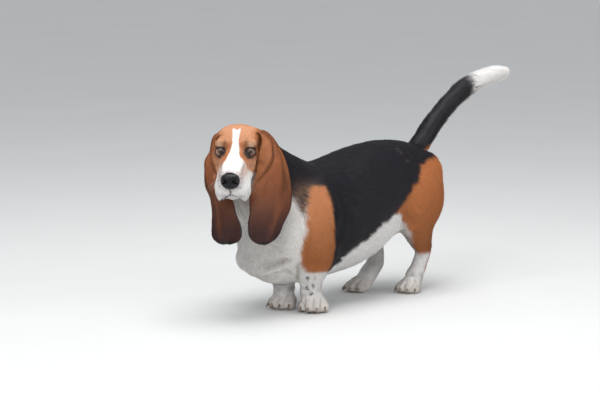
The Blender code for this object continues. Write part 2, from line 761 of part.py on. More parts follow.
def ear_surface(side):
    """Points midway through the leather, as rows down the ear from its root."""
    grid = []
    top, bottom = EAR_FOLD_LEVELS
    for z, front_x, front_y, back_x, back_y, bow, roll in smooth_rows(EAR_ROWS[side], EAR_DOWN):
        front = Vector((front_x, front_y))
        back = Vector((back_x, back_y))
        chord = back - front
        outward = Vector((chord.y, -chord.x)).normalized()
        fold = EAR_FOLD * max(0.0, sin(pi * min(max((top - z) / (top - bottom), 0.0), 1.0)))
        row = []
        for i in range(EAR_ACROSS + 1):
            u = i / EAR_ACROSS
            curl = max(0.0, 1 - u / EAR_ROLL_SHARE) ** 2
            pleat = np.exp(-(((u - 0.20) / 0.10) ** 2)) - np.exp(-(((u - 0.42) / 0.12) ** 2))
            lift = bow * 4 * u * (1 - u) - roll * curl + fold * pleat
            x, y = front + chord * u + outward * lift
            row.append(HEAD_UPRIGHT @ Vector((x * side, y, z)))
        grid.append(row)
    return grid


def ear_leather(bm, side, swell=0.0):
    """A closed sheet round the surface, its two faces split into triangles alike."""
    grid = ear_surface(side)
    rows, columns = len(grid), len(grid[0])
    normals = grid_normals(grid, wraps=False)
    half = EAR_THICKNESS / 2 + swell
    faces = []
    for sense in (1, -1):
        faces.append([
            [bm.verts.new(grid[i][j] + normals[i][j] * half * sense) for j in range(columns)]
            for i in range(rows)
        ])
    for sheet in faces:
        for i in range(rows - 1):
            for j in range(columns - 1):
                a, b, c, d = sheet[i][j], sheet[i][j + 1], sheet[i + 1][j + 1], sheet[i + 1][j]
                bm.faces.new((a, b, c))
                bm.faces.new((a, c, d))
    rim = [(0, j) for j in range(columns)]
    rim += [(i, columns - 1) for i in range(1, rows)]
    rim += [(rows - 1, j) for j in range(columns - 2, -1, -1)]
    rim += [(i, 0) for i in range(rows - 2, 0, -1)]
    outer, inner = faces
    crest = []
    for i, j in rim:
        away = Vector()
        if i in (0, rows - 1):
            away += (grid[i][j] - grid[1 if i == 0 else rows - 2][j]).normalized()
        if j in (0, columns - 1):
            away += (grid[i][j] - grid[i][1 if j == 0 else columns - 2]).normalized()
        away = (away - normals[i][j] * away.dot(normals[i][j])).normalized()
        crest.append(bm.verts.new(grid[i][j] + away * half))
    for k, (i, j) in enumerate(rim):
        m, n = rim[(k + 1) % len(rim)]
        following = crest[(k + 1) % len(rim)]
        bm.faces.new((outer[i][j], outer[m][n], following, crest[k]))
        bm.faces.new((crest[k], following, inner[m][n], inner[i][j]))


def set_ears(head):
    """Each ear's root lies in a slot of its own shape, which again takes the manifold solver."""
    ears = {}
    for side, name in ((1, "ear_left"), (-1, "ear_right")):
        slot = shape_object("slot", lambda bm: ear_leather(bm, side, GAP))
        carve(head, slot, solver="MANIFOLD")
        ears[name] = shape_object(name, lambda bm: ear_leather(bm, side))
    return ears


# Claws

CLAW_SIDES = 6
# The share of a claw's length that is sunk in the toe, and how far it splays
CLAW_SUNK = 0.60
CLAW_SPLAY = 0.16
# Share of the length, level above the floor, and width and depth as shares of the radius
CLAW_ROWS = (
    (0.00, 0.0135, 1.00, 1.20),
    (0.55, 0.0105, 0.85, 1.05),
    (1.00, 0.0050, 0.35, 0.45),
)


def claw(bm, place, toe):
    sideways, forward, half_width, half_length, half_height = toe
    start = forward + half_length - CLAW_LENGTH * CLAW_SUNK
    rows = []
    for share, level, width, depth in CLAW_ROWS:
        x = sideways * (1 + CLAW_SPLAY * share)
        rows.append((x, -start - CLAW_LENGTH * share, level, CLAW_RADIUS * width, CLAW_RADIUS * depth))
    rings = limb_rings(rows, steps=1, sides=CLAW_SIDES)
    bridge(bm, [[place @ point for point in ring] for ring in rings])


def set_claws(paws):
    for name, paw in paws.items():
        place = paw_place(name)
        claws = shape_object("claws", *(lambda bm, toe=toe: claw(bm, place, toe) for toe in TOES))
        carve(paw, claws, "UNION")


# Colours: red, green, blue and roughness

COLOURS = {
    "black": (0.020, 0.018, 0.020, 0.60),
    "tan": (0.360, 0.130, 0.045, 0.65),
    "white": (0.780, 0.740, 0.690, 0.70),
    "chestnut": (0.150, 0.050, 0.025, 0.60),
    "nose": (0.012, 0.011, 0.013, 0.35),
    "amber": (0.300, 0.160, 0.050, 0.08),
}
COLOUR_OF = {
    "torso": "black",
    "neck": "black",
    "head": "tan",
    "nose": "nose",
    "ear_left": "chestnut",
    "ear_right": "chestnut",
    "eye_left": "amber",
    "eye_right": "amber",
    "foreleg_left": "tan",
    "foreleg_right": "tan",
    "forepaw_left": "white",
    "forepaw_right": "white",
    "hindleg_left": "tan",
    "hindleg_right": "tan",
    "hindpaw_left": "white",
    "hindpaw_right": "white",
    "tail": "black",
}


def colour_material(name):
    red, green, blue, roughness = COLOURS[name]
    material = bpy.data.materials.new(name)
    material.use_nodes = True
    surface = material.node_tree.nodes["Principled BSDF"]
    surface.inputs["Base Color"].default_value = (red, green, blue, 1.0)
    surface.inputs["Roughness"].default_value = roughness
    surface.inputs["Metallic"].default_value = 0.0
    return material


def finish(pieces):
    """Gives each piece its colour and smooth shading, and moves all of them to their common origin."""
    corners = np.array([v.co for piece in pieces.values() for v in piece.data.vertices])
    low, high = corners.min(axis=0), corners.max(axis=0)
    shift = Matrix.Translation((-(low[0] + high[0]) / 2, -(low[1] + high[1]) / 2, -low[2]))
    for name, piece in pieces.items():
        material = colour_material(COLOUR_OF[name])
        material.name = name
        piece.data.materials.clear()
        piece.data.materials.append(material)
        piece.data.transform(shift)
        piece.data.shade_smooth()
        piece.data.set_sharp_from_angle(angle=SHARP_ANGLE)


def main():
    clear_scene()
    pieces = part_flesh(flesh_object())
    head = pieces["head"]
    pieces["nose"] = set_nose(head)
    set_mouth(head)
    pieces.update(set_eyes(head))
    pieces.update(set_ears(head))
    set_claws({name: pieces[name] for name in FEET})
    finish(pieces)


main()
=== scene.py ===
"""A life-size standing basset hound, as a still model: skin, coat, eyes, nose and claws.

The skin is fused from the same masses as the solids, in the same frame, and then refined and creased.
The coat is many thin blades of hair that lie over the skin. Sizes are metres.
"""

from itertools import product
from math import asin, cos, pi, radians, sin

import bmesh
import bpy
import numpy as np
from bpy.props import FloatProperty, FloatVectorProperty, IntProperty, PointerProperty
from mathutils import Matrix, Vector
from mathutils.bvhtree import BVHTree
from mathutils.kdtree import KDTree


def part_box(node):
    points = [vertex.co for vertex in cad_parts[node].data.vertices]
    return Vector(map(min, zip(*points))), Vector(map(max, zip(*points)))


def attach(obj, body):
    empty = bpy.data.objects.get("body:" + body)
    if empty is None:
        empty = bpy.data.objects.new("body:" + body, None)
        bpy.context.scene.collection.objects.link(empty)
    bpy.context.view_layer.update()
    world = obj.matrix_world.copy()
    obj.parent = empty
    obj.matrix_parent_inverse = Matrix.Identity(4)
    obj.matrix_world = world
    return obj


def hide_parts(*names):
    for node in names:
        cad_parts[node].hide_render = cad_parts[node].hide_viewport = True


bl_info = {
    "name": "Basset Hound Model",
    "version": (1, 0, 0),
    "blender": (4, 5, 0),
    "location": "3D View > Sidebar > Hound",
    "description": "Builds the skin, coat, eyes, nose, claws and stage of a life-size hound",
    "category": "Add Mesh",
}

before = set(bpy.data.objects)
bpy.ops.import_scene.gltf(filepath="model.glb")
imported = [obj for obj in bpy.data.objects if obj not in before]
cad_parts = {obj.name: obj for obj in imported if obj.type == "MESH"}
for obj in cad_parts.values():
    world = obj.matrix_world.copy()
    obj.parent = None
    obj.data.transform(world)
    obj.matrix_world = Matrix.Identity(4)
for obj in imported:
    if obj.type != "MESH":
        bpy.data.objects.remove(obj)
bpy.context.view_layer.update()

# The head's frame in the source's own coordinates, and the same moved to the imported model
HEAD_AT = Vector((0.040, -0.385, 0.394))
HEAD_TURN = radians(38)
HEAD_NOD = radians(10)
HEAD_UPRIGHT = Matrix.Translation(HEAD_AT) @ Matrix.Rotation(HEAD_TURN, 4, "Z")
HEAD = HEAD_UPRIGHT @ Matrix.Rotation(HEAD_NOD, 4, "X")
EYE_AT = Vector((0.0340, -0.0035, 0.0000))
EYE_LOW, EYE_HIGH = (Vector(corner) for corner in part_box("eye_left"))
TO_MODEL = Matrix.Translation((EYE_LOW + EYE_HIGH) / 2 - HEAD @ EYE_AT)
EYE_RADIUS = 0.0112
HEAD_IN_MODEL = TO_MODEL @ HEAD
# Between neck and head: a point and the way forward, in the source's own coordinates
NECK_PLANE = (Vector((0.004, -0.290, 0.356)), Vector((0.0, -0.75, 0.66)))

FEET = {
    "forepaw_left": ((0.072, -0.160), radians(38), 1.00),
    "forepaw_right": ((-0.012, -0.174), radians(14), 0.95),
    "hindpaw_left": ((0.056, 0.197), radians(18), 0.86),
    "hindpaw_right": ((-0.045, 0.124), radians(-8), 0.86),
}
FLESH_NODES = (
    "torso", "neck", "head", "ear_left", "ear_right", "foreleg_left", "foreleg_right",
    "forepaw_left", "forepaw_right", "hindleg_left", "hindleg_right", "hindpaw_left",
    "hindpaw_right", "tail",
)

# Parts of the skin, as numbers kept on its points
BODY, HEAD_PART, EAR_LEFT, EAR_RIGHT, TAIL, LEG = range(6)


# Properties

def colour(name, description, value):
    return FloatVectorProperty(
        name=name, description=description, default=value, min=0.0, max=1.0, size=3, subtype="COLOR"
    )


def length(name, description, value):
    return FloatProperty(name=name, description=description, default=value, min=0.0, unit="LENGTH")


class HOUND_PG_colours(bpy.types.PropertyGroup):
    black: colour("Saddle", "Black of the back and neck", (0.0105, 0.0085, 0.0120))
    tan: colour("Tan", "Tan of the shoulder", (0.54, 0.215, 0.088))
    rust: colour("Rust", "Deeper tan of the thigh and cheek", (0.37, 0.125, 0.040))
    fawn: colour("Fawn", "Pale tan of the forehead", (0.58, 0.285, 0.155))
    white: colour("White", "White of the chest, legs and blaze", (0.78, 0.76, 0.74))
    grey: colour("Grey", "Ticking in the white", (0.20, 0.16, 0.15))
    chestnut: colour("Chestnut", "Upper part of the ears", (0.28, 0.090, 0.034))
    umber: colour("Umber", "Lower part of the ears", (0.048, 0.018, 0.015))
    lips: colour("Lips", "Lip line and lid rims", (0.010, 0.007, 0.007))
    haw: colour("Haw", "Red inner rim of the lower lid", (0.34, 0.055, 0.035))
    iris: colour("Iris", "Light brown of the iris", (0.160, 0.076, 0.033))
    eyewhite: colour("White of the eye", "Ball of the eye round the iris", (0.50, 0.40, 0.34))
    nose: colour("Nose", "Leather of the nose", (0.0055, 0.0050, 0.0070))
    claw: colour("Claw", "Horn of the claws", (0.20, 0.145, 0.11))
    floor: colour("Floor", "Floor and surroundings", (0.62, 0.62, 0.61))


class HOUND_PG_sizes(bpy.types.PropertyGroup):
    grid: length("Grid", "Size of the grid that fuses the skin", 0.0040)
    depth: length("Coat depth", "How far the skin lies inside the solids", 0.0014)
    ear_thickness: length("Ear thickness", "Thickness of the ear leather", 0.0038)
    hair_body: length("Body hair", "Length of the hair on the body", 0.0110)
    hair_face: length("Face hair", "Length of the hair on the head and ears", 0.0050)
    hair_leg: length("Leg hair", "Length of the hair on the legs", 0.0070)
    hair_tail: length("Tail hair", "Length of the hair on the tail", 0.0160)
    cover: FloatProperty(
        name="Cover", description="Layers of hair over each point of the skin", default=2.3, min=0.1
    )
    whiskers: IntProperty(
        name="Whiskers", description="Whiskers on each side of the muzzle", default=11, min=0
    )


def tones():
    """The colours that are set now, by name."""
    group = bpy.context.scene.hound_colours
    names = HOUND_PG_colours.__annotations__
    return {name: np.array(getattr(group, name)[:], float) for name in names}


def sizes():
    return bpy.context.scene.hound_sizes


# Shapes, as in the source of the solids

def signed_power(value, power):
    return np.sign(value) * np.abs(value) ** power


def smooth_rows(rows, steps):
    """A Catmull-Rom curve drawn through rows of sizes, with this many steps between two rows."""
    rows = np.asarray(rows, float)
    before = np.vstack([2 * rows[0] - rows[1], rows[:-1]])
    after = np.vstack([rows[1:], 2 * rows[-1] - rows[-2]])
    further = np.vstack([after[1:], 2 * after[-1] - rows[-1]])
    t = (np.arange(steps) / steps)[None, :, None]
    a, b, c, d = (part[:-1, None, :] for part in (before, rows, after, further))
    curve = 0.5 * (
        2 * b + (c - a) * t + (2 * a - 5 * b + 4 * c - d) * t**2 + (3 * b - a - 3 * c + d) * t**3
    )
    return np.vstack([curve.reshape(-1, rows.shape[1]), rows[-1:]])


def oval(half_width, rise, drop, squareness, sides):
    """A ring that is rounder or squarer, with its own height above and below its widest level."""
    turn = np.arange(sides) * 2 * pi / sides
    across = half_width * signed_power(np.cos(turn), 2 / squareness)
    up = signed_power(np.sin(turn), 2 / squareness)
    return across, np.where(up > 0, rise, drop) * up


def bridge(bm, rings):
    """A closed body through rings of equal count, with both its ends filled."""
    rows = [[bm.verts.new(point) for point in ring] for ring in rings]
    count = len(rows[0])
    for low, high in zip(rows, rows[1:]):
        for i in range(count):
            j = (i + 1) % count
            bm.faces.new((low[i], low[j], high[j], high[i]))
    bm.faces.new(rows[0][::-1])
    bm.faces.new(rows[-1])


def trunk(bm, rows, steps=4, sides=40, place=Matrix()):
    """A loft along Y. A row is y, its middle x, its top, its bottom, its half width, its widest level
    and its squareness."""
    rings = []
    for y, x, top, bottom, half_width, widest, squareness in smooth_rows(rows, steps):
        across, up = oval(half_width, top - widest, widest - bottom, squareness, sides)
        rings.append([place @ Vector((x + a, y, widest + u)) for a, u in zip(across, up)])
    bridge(bm, rings)


def limb_rings(rows, steps=4, sides=24):
    """Rings along a bent path. A row is x, y, z, the half width along X and the half depth."""
    path = smooth_rows(rows, steps)
    points = path[:, :3]
    along = np.gradient(points, axis=0)
    rings = []
    for point, tangent, (half_width, half_depth) in zip(points, along, path[:, 3:5]):
        tangent = Vector(tangent).normalized()
        across = (Vector((1, 0, 0)) - tangent * tangent.x).normalized()
        other = tangent.cross(across)
        a, u = oval(half_width, half_depth, half_depth, 2.0, sides)
        rings.append([Vector(point) + across * i + other * j for i, j in zip(a, u)])
    return rings


def rounded_end(rings):
    """Three smaller rings that close the first ring's end with a dome."""
    middle = sum(rings[0], Vector()) / len(rings[0])
    outward = (middle - sum(rings[1], Vector()) / len(rings[1])).normalized()
    reach = min((point - middle).length for point in rings[0])
    dome = []
    for angle in (75, 50, 25):
        shrink = cos(radians(angle))
        lift = outward * reach * sin(radians(angle))
        dome.append([middle + (point - middle) * shrink + lift for point in rings[0]])
    return dome


def limb(bm, rows, sides=24):
    """A loft along a bent path with domed ends."""
    rings = limb_rings(rows, sides=sides)
    bridge(bm, rounded_end(rings) + rings + rounded_end(rings[::-1])[::-1])


def ball(bm, middle, radii, turn=(0, 0, 0), place=Matrix()):
    """An ellipsoid, turned by angles about X, Y and Z in degrees."""
    spin = Matrix.Identity(4)
    for angle, axis in zip(turn, "XYZ"):
        spin = Matrix.Rotation(radians(angle), 4, axis) @ spin
    matrix = place @ Matrix.Translation(middle) @ spin @ Matrix.Diagonal((*radii, 1))
    bmesh.ops.create_icosphere(bm, subdivisions=3, radius=1.0, matrix=matrix)


def placed(name, data):
    """A new object in the scene with this mesh, light or camera."""
    thing = bpy.data.objects.new(name, data)
    bpy.context.scene.collection.objects.link(thing)
    return thing


def finished(bm, name):
    """The mesh that a bmesh holds."""
    mesh = bpy.data.meshes.new(name)
    bm.to_mesh(mesh)
    bm.free()
    return mesh


def shape_object(name, *builders):
    """An object whose mesh is what the builders add to it, with every face turned outward."""
    bm = bmesh.new()
    for build in builders:
        build(bm)
    bmesh.ops.recalc_face_normals(bm, faces=bm.faces)
    return placed(name, finished(bm, name))


def apply_modifiers(thing):
    rough = thing.data
    graph = bpy.context.evaluated_depsgraph_get()
    smooth = bpy.data.meshes.new_from_object(thing.evaluated_get(graph))
    thing.modifiers.clear()
    thing.data = smooth
    bpy.data.meshes.remove(rough)


def carve(thing, tool, operation="DIFFERENCE", solver="EXACT"):
    """Cuts a tool's shape out of a thing, or joins it to the thing."""
    modifier = thing.modifiers.new("carve", "BOOLEAN")
    modifier.operation = operation
    modifier.object = tool
    modifier.solver = solver
    apply_modifiers(thing)
    bpy.data.objects.remove(tool)


def fuse(thing, size):
    """Rebuilds a thing's surface on a grid of this size."""
    modifier = thing.modifiers.new("fuse", "REMESH")
    modifier.mode = "VOXEL"
    modifier.voxel_size = size
    apply_modifiers(thing)


# Torso

TORSO_ROWS = (
    # y, x, top, bottom, half width, widest level, squareness
    (-0.302, 0.002, 0.232, 0.178, 0.025, 0.205, 2.0),
    (-0.292, 0.002, 0.255, 0.150, 0.055, 0.205, 2.0),
    (-0.272, 0.002, 0.285, 0.116, 0.082, 0.205, 2.1),
    (-0.235, 0.001, 0.315, 0.082, 0.102, 0.208, 2.2),
    (-0.190, 0.000, 0.332, 0.066, 0.113, 0.212, 2.2),
    (-0.130, 0.000, 0.340, 0.064, 0.119, 0.214, 2.2),
    (-0.060, 0.000, 0.341, 0.068, 0.122, 0.212, 2.1),
    (0.010, 0.000, 0.354, 0.077, 0.123, 0.214, 2.1),
    (0.070, 0.000, 0.366, 0.094, 0.117, 0.226, 2.1),
    (0.130, 0.000, 0.372, 0.124, 0.106, 0.246, 2.1),
    (0.190, 0.000, 0.370, 0.154, 0.100, 0.262, 2.2),
    (0.238, 0.000, 0.361, 0.178, 0.092, 0.268, 2.2),
    (0.270, 0.000, 0.344, 0.198, 0.076, 0.270, 2.1),
    (0.289, 0.000, 0.321, 0.222, 0.050, 0.268, 2.0),
    (0.295, 0.000, 0.300, 0.242, 0.022, 0.268, 2.0),
)
SHOULDER_ROWS = (
    (0.062, -0.112, 0.290, 0.024, 0.046),
    (0.092, -0.146, 0.250, 0.036, 0.060),
    (0.100, -0.176, 0.205, 0.038, 0.060),
    (0.098, -0.163, 0.160, 0.036, 0.052),
)
THIGH_ROWS = (
    (0.052, 0.204, 0.300, 0.032, 0.058),
    (0.072, 0.208, 0.270, 0.040, 0.079),
    (0.082, 0.203, 0.225, 0.040, 0.083),
    (0.082, 0.194, 0.185, 0.036, 0.064),
)


def mirrored(rows, side):
    return [(side * row[0], *row[1:]) for row in rows]


def torso_masses(bm):
    trunk(bm, TORSO_ROWS)
    for side in (1, -1):
        limb(bm, mirrored(SHOULDER_ROWS, side))
        limb(bm, mirrored(THIGH_ROWS, side))
        # pad of the rump beside the tail
        ball(bm, (0.050 * side, 0.255, 0.283), (0.048, 0.047, 0.062))
    # breastbone keel, and the loose skin that hangs in a fold before the forelegs
    ball(bm, (0.0, -0.190, 0.112), (0.060, 0.090, 0.052))
    ball(bm, (-0.012, -0.255, 0.125), (0.074, 0.034, 0.042))


# Neck and head

NECK_ROWS = (
    (0.000, -0.115, 0.250, 0.088, 0.088),
    (0.000, -0.185, 0.280, 0.080, 0.086),
    (0.002, -0.243, 0.318, 0.069, 0.077),
    (0.004, -0.286, 0.358, 0.059, 0.066),
    (0.006, -0.312, 0.388, 0.050, 0.054),
)
DEWLAP_ROWS = (
    (0.020, -0.345, 0.325, 0.020, 0.030),
    (0.012, -0.310, 0.280, 0.024, 0.042),
    (0.004, -0.275, 0.235, 0.026, 0.042),
)
HEAD_ROWS = (
    # y, x, top, bottom, half width, widest level, squareness, in the head's frame
    (-0.121, 0.0, -0.020, -0.056, 0.017, -0.038, 2.2),
    (-0.115, 0.0, -0.015, -0.068, 0.027, -0.041, 2.3),
    (-0.100, 0.0, -0.011, -0.078, 0.034, -0.048, 2.4),
    (-0.078, 0.0, -0.006, -0.084, 0.037, -0.054, 2.5),
    (-0.052, 0.0, 0.000, -0.082, 0.038, -0.052, 2.5),
    (-0.030, 0.0, 0.008, -0.078, 0.041, -0.044, 2.4),
    (-0.012, 0.0, 0.020, -0.072, 0.046, -0.032, 2.3),
    (0.006, 0.0, 0.034, -0.066, 0.051, -0.014, 2.3),
    (0.030, 0.0, 0.045, -0.060, 0.055, -0.002, 2.3),
    (0.060, 0.0, 0.047, -0.050, 0.056, 0.000, 2.2),
    (0.088, 0.0, 0.040, -0.036, 0.049, 0.002, 2.1),
    (0.106, 0.0, 0.026, -0.016, 0.030, 0.006, 2.0),
    (0.112, 0.0, 0.016, -0.002, 0.014, 0.006, 2.0),
)


def neck_masses(bm):
    limb(bm, NECK_ROWS)
    limb(bm, DEWLAP_ROWS)
    # loose skin of the throat on the side that the head turns away from
    ball(bm, (-0.025, -0.305, 0.275), (0.036, 0.032, 0.050))


def head_masses(bm):
    trunk(bm, HEAD_ROWS, place=HEAD)
    for side in (1, -1):
        # flews, brow, cheek and the muscle before the ear
        ball(bm, (0.0245 * side, -0.072, -0.064), (0.0170, 0.041, 0.032), place=HEAD)
        ball(bm, (0.033 * side, 0.000, 0.017), (0.017, 0.015, 0.010), place=HEAD)
        ball(bm, (0.040 * side, 0.020, -0.020), (0.017, 0.034, 0.022), place=HEAD)
        ball(bm, (0.040 * side, 0.045, 0.004), (0.018, 0.030, 0.028), place=HEAD)
    # root of the left ear, which the dog carries higher than the right
    ball(bm, (0.034, 0.046, 0.021), (0.026, 0.034, 0.023), place=HEAD)
    # lower jaw
    ball(bm, (0.0, -0.062, -0.080), (0.020, 0.042, 0.016), place=HEAD)


# Legs and paws, from the top down

FORELEG_ROWS = {
    1: (
        (0.098, -0.146, 0.170, 0.034, 0.046),
        (0.086, -0.148, 0.128, 0.032, 0.039),
        (0.066, -0.157, 0.085, 0.028, 0.031),
        (0.058, -0.155, 0.055, 0.0255, 0.0275),
        (0.060, -0.153, 0.030, 0.026, 0.028),
        (0.066, -0.153, 0.006, 0.027, 0.031),
    ),
    -1: (
        (-0.096, -0.150, 0.170, 0.034, 0.046),
        (-0.080, -0.152, 0.128, 0.032, 0.039),
        (-0.046, -0.158, 0.085, 0.028, 0.031),
        (-0.022, -0.163, 0.055, 0.0250, 0.0270),
        (-0.017, -0.169, 0.030, 0.025, 0.027),
        (-0.015, -0.170, 0.006, 0.026, 0.030),
    ),
}
HINDLEG_ROWS = {
    1: (
        (0.084, 0.190, 0.225, 0.038, 0.072),
        (0.082, 0.196, 0.180, 0.034, 0.058),
        (0.075, 0.218, 0.135, 0.026, 0.038),
        (0.067, 0.238, 0.100, 0.0200, 0.0240),
        (0.061, 0.226, 0.062, 0.0195, 0.0215),
        (0.057, 0.212, 0.030, 0.021, 0.025),
        (0.056, 0.204, 0.006, 0.024, 0.028),
    ),
    -1: (
        (-0.084, 0.178, 0.225, 0.038, 0.072),
        (-0.081, 0.166, 0.180, 0.034, 0.060),
        (-0.074, 0.184, 0.130, 0.026, 0.042),
        (-0.066, 0.208, 0.092, 0.0210, 0.0270),
        (-0.059, 0.204, 0.064, 0.0205, 0.0240),
        (-0.052, 0.170, 0.036, 0.021, 0.024),
        (-0.046, 0.138, 0.016, 0.024, 0.022),
    ),
}
TOES = (
    # sideways, forward, half width, half length, half height
    (-0.0275, 0.009, 0.0115, 0.0185, 0.0150),
    (-0.0102, 0.022, 0.0118, 0.0205, 0.0165),
    (0.0102, 0.022, 0.0118, 0.0205, 0.0165),
    (0.0275, 0.009, 0.0115, 0.0185, 0.0150),
)
TOE_SINK = 0.0015


def leg_masses(bm):
    for side in (1, -1):
        limb(bm, FORELEG_ROWS[side])
        limb(bm, HINDLEG_ROWS[side])


def paw_place(name):
    spot, toe_out, size = FEET[name]
    return Matrix.Translation((*spot, 0)) @ Matrix.Rotation(toe_out, 4, "Z") @ Matrix.Scale(size, 4)


def paw_masses(bm):
    for name in FEET:
        place = paw_place(name)
        ball(bm, (0, 0.004, 0.017), (0.033, 0.034, 0.027), place=place)
        for sideways, forward, half_width, half_length, half_height in TOES:
            middle = (sideways, -forward, half_height - TOE_SINK)
            ball(bm, middle, (half_width, half_length, half_height), place=place)


# Tail

TAIL_ROWS = (
    (0.000, 0.250, 0.310, 0.030, 0.034),
    (0.002, 0.290, 0.345, 0.0240, 0.0270),
    (0.004, 0.340, 0.396, 0.0210, 0.0235),
    (0.008, 0.392, 0.440, 0.0200, 0.0225),
    (0.014, 0.444, 0.476, 0.0190, 0.0225),
    (0.020, 0.500, 0.498, 0.0175, 0.0215),
    (0.026, 0.550, 0.508, 0.0165, 0.0195),
    (0.030, 0.588, 0.512, 0.0135, 0.0155),
)


def tail_masses(bm):
    limb(bm, TAIL_ROWS, sides=16)


NOSE_ROWS = (
    # y, x, top, bottom, half width, widest level, squareness, in the head's frame
    (-0.1270, 0.0, -0.0250, -0.0460, 0.0100, -0.0330, 2.2),
    (-0.1240, 0.0, -0.0200, -0.0510, 0.0175, -0.0320, 2.4),
    (-0.1170, 0.0, -0.0180, -0.0535, 0.0210, -0.0310, 2.4),
    (-0.1060, 0.0, -0.0200, -0.0520, 0.0195, -0.0320, 2.3),
    (-0.0980, 0.0, -0.0250, -0.0470, 0.0120, -0.0340, 2.2),
)


LIP_LINE = (
    (0.0430, -0.010, -0.050, 0.0060, 0.0010),
    (0.0415, -0.026, -0.064, 0.0080, 0.0011),
    (0.0370, -0.048, -0.083, 0.0090, 0.0012),
    (0.0300, -0.075, -0.091, 0.0090, 0.0012),
    (0.0190, -0.102, -0.084, 0.0080, 0.0012),
    (0.0080, -0.117, -0.071, 0.0070, 0.0012),
)


EAR_ROWS = {
    1: (
        (0.038, 0.036, 0.020, 0.038, 0.054, 0.000, 0.000),
        (0.042, 0.048, 0.016, 0.054, 0.056, 0.004, 0.000),
        (0.034, 0.058, 0.010, 0.068, 0.057, 0.007, 0.002),
        (0.016, 0.065, 0.003, 0.084, 0.056, 0.012, 0.006),
        (-0.008, 0.068, -0.006, 0.101, 0.050, 0.014, 0.010),
        (-0.040, 0.066, -0.014, 0.114, 0.044, 0.013, 0.012),
        (-0.080, 0.055, -0.022, 0.122, 0.036, 0.011, 0.010),
        (-0.110, 0.044, -0.028, 0.125, 0.030, 0.009, 0.006),
        (-0.138, 0.036, -0.034, 0.121, 0.020, 0.007, 0.003),
        (-0.166, 0.032, -0.036, 0.108, 0.008, 0.006, 0.002),
        (-0.187, 0.034, -0.036, 0.100, 0.002, 0.005, 0.001),
        (-0.200, 0.041, -0.034, 0.090, -0.004, 0.004, 0.000),
        (-0.2080, 0.054, -0.030, 0.078, -0.014, 0.002, 0.000),
    ),
    -1: (
        (0.034, 0.026, 0.018, 0.030, 0.050, 0.000, 0.000),
        (0.036, 0.038, 0.014, 0.042, 0.052, 0.004, 0.000),
        (0.026, 0.046, 0.014, 0.051, 0.054, 0.005, 0.001),
        (0.010, 0.050, 0.014, 0.055, 0.052, 0.006, 0.001),
        (-0.008, 0.052, 0.010, 0.059, 0.050, 0.007, 0.002),
        (-0.032, 0.051, 0.000, 0.072, 0.047, 0.012, 0.006),
        (-0.080, 0.040, -0.016, 0.075, 0.038, 0.011, 0.006),
        (-0.110, 0.014, -0.027, 0.063, 0.028, 0.008, 0.004),
        (-0.138, -0.003, -0.034, 0.057, 0.016, 0.006, 0.002),
        (-0.166, -0.015, -0.039, 0.056, 0.006, 0.005, 0.001),
        (-0.187, -0.018, -0.041, 0.056, 0.000, 0.004, 0.000),
        (-0.200, -0.011, -0.040, 0.052, -0.004, 0.003, 0.000),
        (-0.2080, 0.005, -0.036, 0.041, -0.014, 0.002, 0.000),
    ),
}


# Points and meshes

# Half the width over which the edge of an outline is blended
EDGE_SOFT = 0.006
# How far from a line its distance is still worked out
LINE_REACH = 0.03

def read(items, field, width=3, kind=np.float32):
    """One field of all items of a mesh, as rows of this width."""
    flat = np.empty(len(items) * width, kind)
    items.foreach_get(field, flat)
    return flat.reshape(-1, width)


def read_points(mesh):
    return read(mesh.vertices, "co").astype(float)


def read_normals(mesh):
    return read(mesh.vertex_normals, "vector").astype(float)


def read_edges(mesh):
    return read(mesh.edges, "vertices", 2, np.int32)


def write_points(mesh, points):
    mesh.vertices.foreach_set("co", points.astype(np.float32).ravel())
    mesh.update()


def moved(points, matrix):
    """The points taken through a matrix."""
    table = np.array(matrix)
    return points @ table[:3, :3].T + table[:3, 3]


def in_head(points):
    """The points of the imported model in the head's frame."""
    return moved(points, HEAD_IN_MODEL.inverted())


def ahead_of_neck(points, place=Matrix()):
    """How far points are in front of the plane between neck and head, which is moved by place."""
    middle, forward = (np.array(part) for part in NECK_PLANE)
    return (points - moved(middle[None], place)[0]) @ forward


def unit(vectors):
    return vectors / np.maximum(np.linalg.norm(vectors, axis=1, keepdims=True), 1e-9)


def along_surface(ways, normals):
    """The ways turned into the surface that has these normals, as unit directions."""
    return unit(ways - normals * (ways * normals).sum(axis=1, keepdims=True))


def ramp(values, low, high):
    """A smooth rise from 0 at low to 1 at high."""
    share = np.clip((np.asarray(values, float) - low) / (high - low), 0.0, 1.0)
    return share * share * (3 - 2 * share)


def bump(values, middle, width):
    return np.exp(-(((values - middle) / width) ** 2))


def lump(columns, middle, radii):
    """1 at the middle of an ellipse or ellipsoid, fading out round it."""
    return np.exp(-(((np.column_stack(columns) - middle) / radii) ** 2).sum(axis=1))


def dot(points, middle, low, high):
    """1 up to the low distance from a point, fading to 0 at the high one."""
    return 1 - ramp(np.linalg.norm(points - np.array(middle), axis=1), low, high)


def blend(first, second, share):
    share = np.asarray(share, float)
    if np.ndim(first) == 2 or np.ndim(second) == 2 or np.ndim(share) == 1:
        share = share.reshape(-1, 1)
    return first * (1 - share) + second * share


def clouds(points, size, seeds):
    """Three directions of smooth noise."""
    return np.column_stack([cloud(points, size, seed) for seed in seeds])


def cloud(points, size, seed):
    """Smooth noise from -1 to 1, in lumps of about this size."""
    table = np.random.default_rng(seed).uniform(-1, 1, 4096)
    place = points / size + 1000.0
    cell = np.floor(place).astype(np.int64)
    share = place - cell
    share = share * share * (3 - 2 * share)
    total = np.zeros(len(points))
    for corner in product((0, 1), repeat=3):
        near = np.where(np.array(corner) == 1, share, 1 - share).prod(axis=1)
        i, j, k = (cell + corner).T
        total += near * table[((i * 73856093) ^ (j * 19349663) ^ (k * 83492791)) & 4095]
    return total


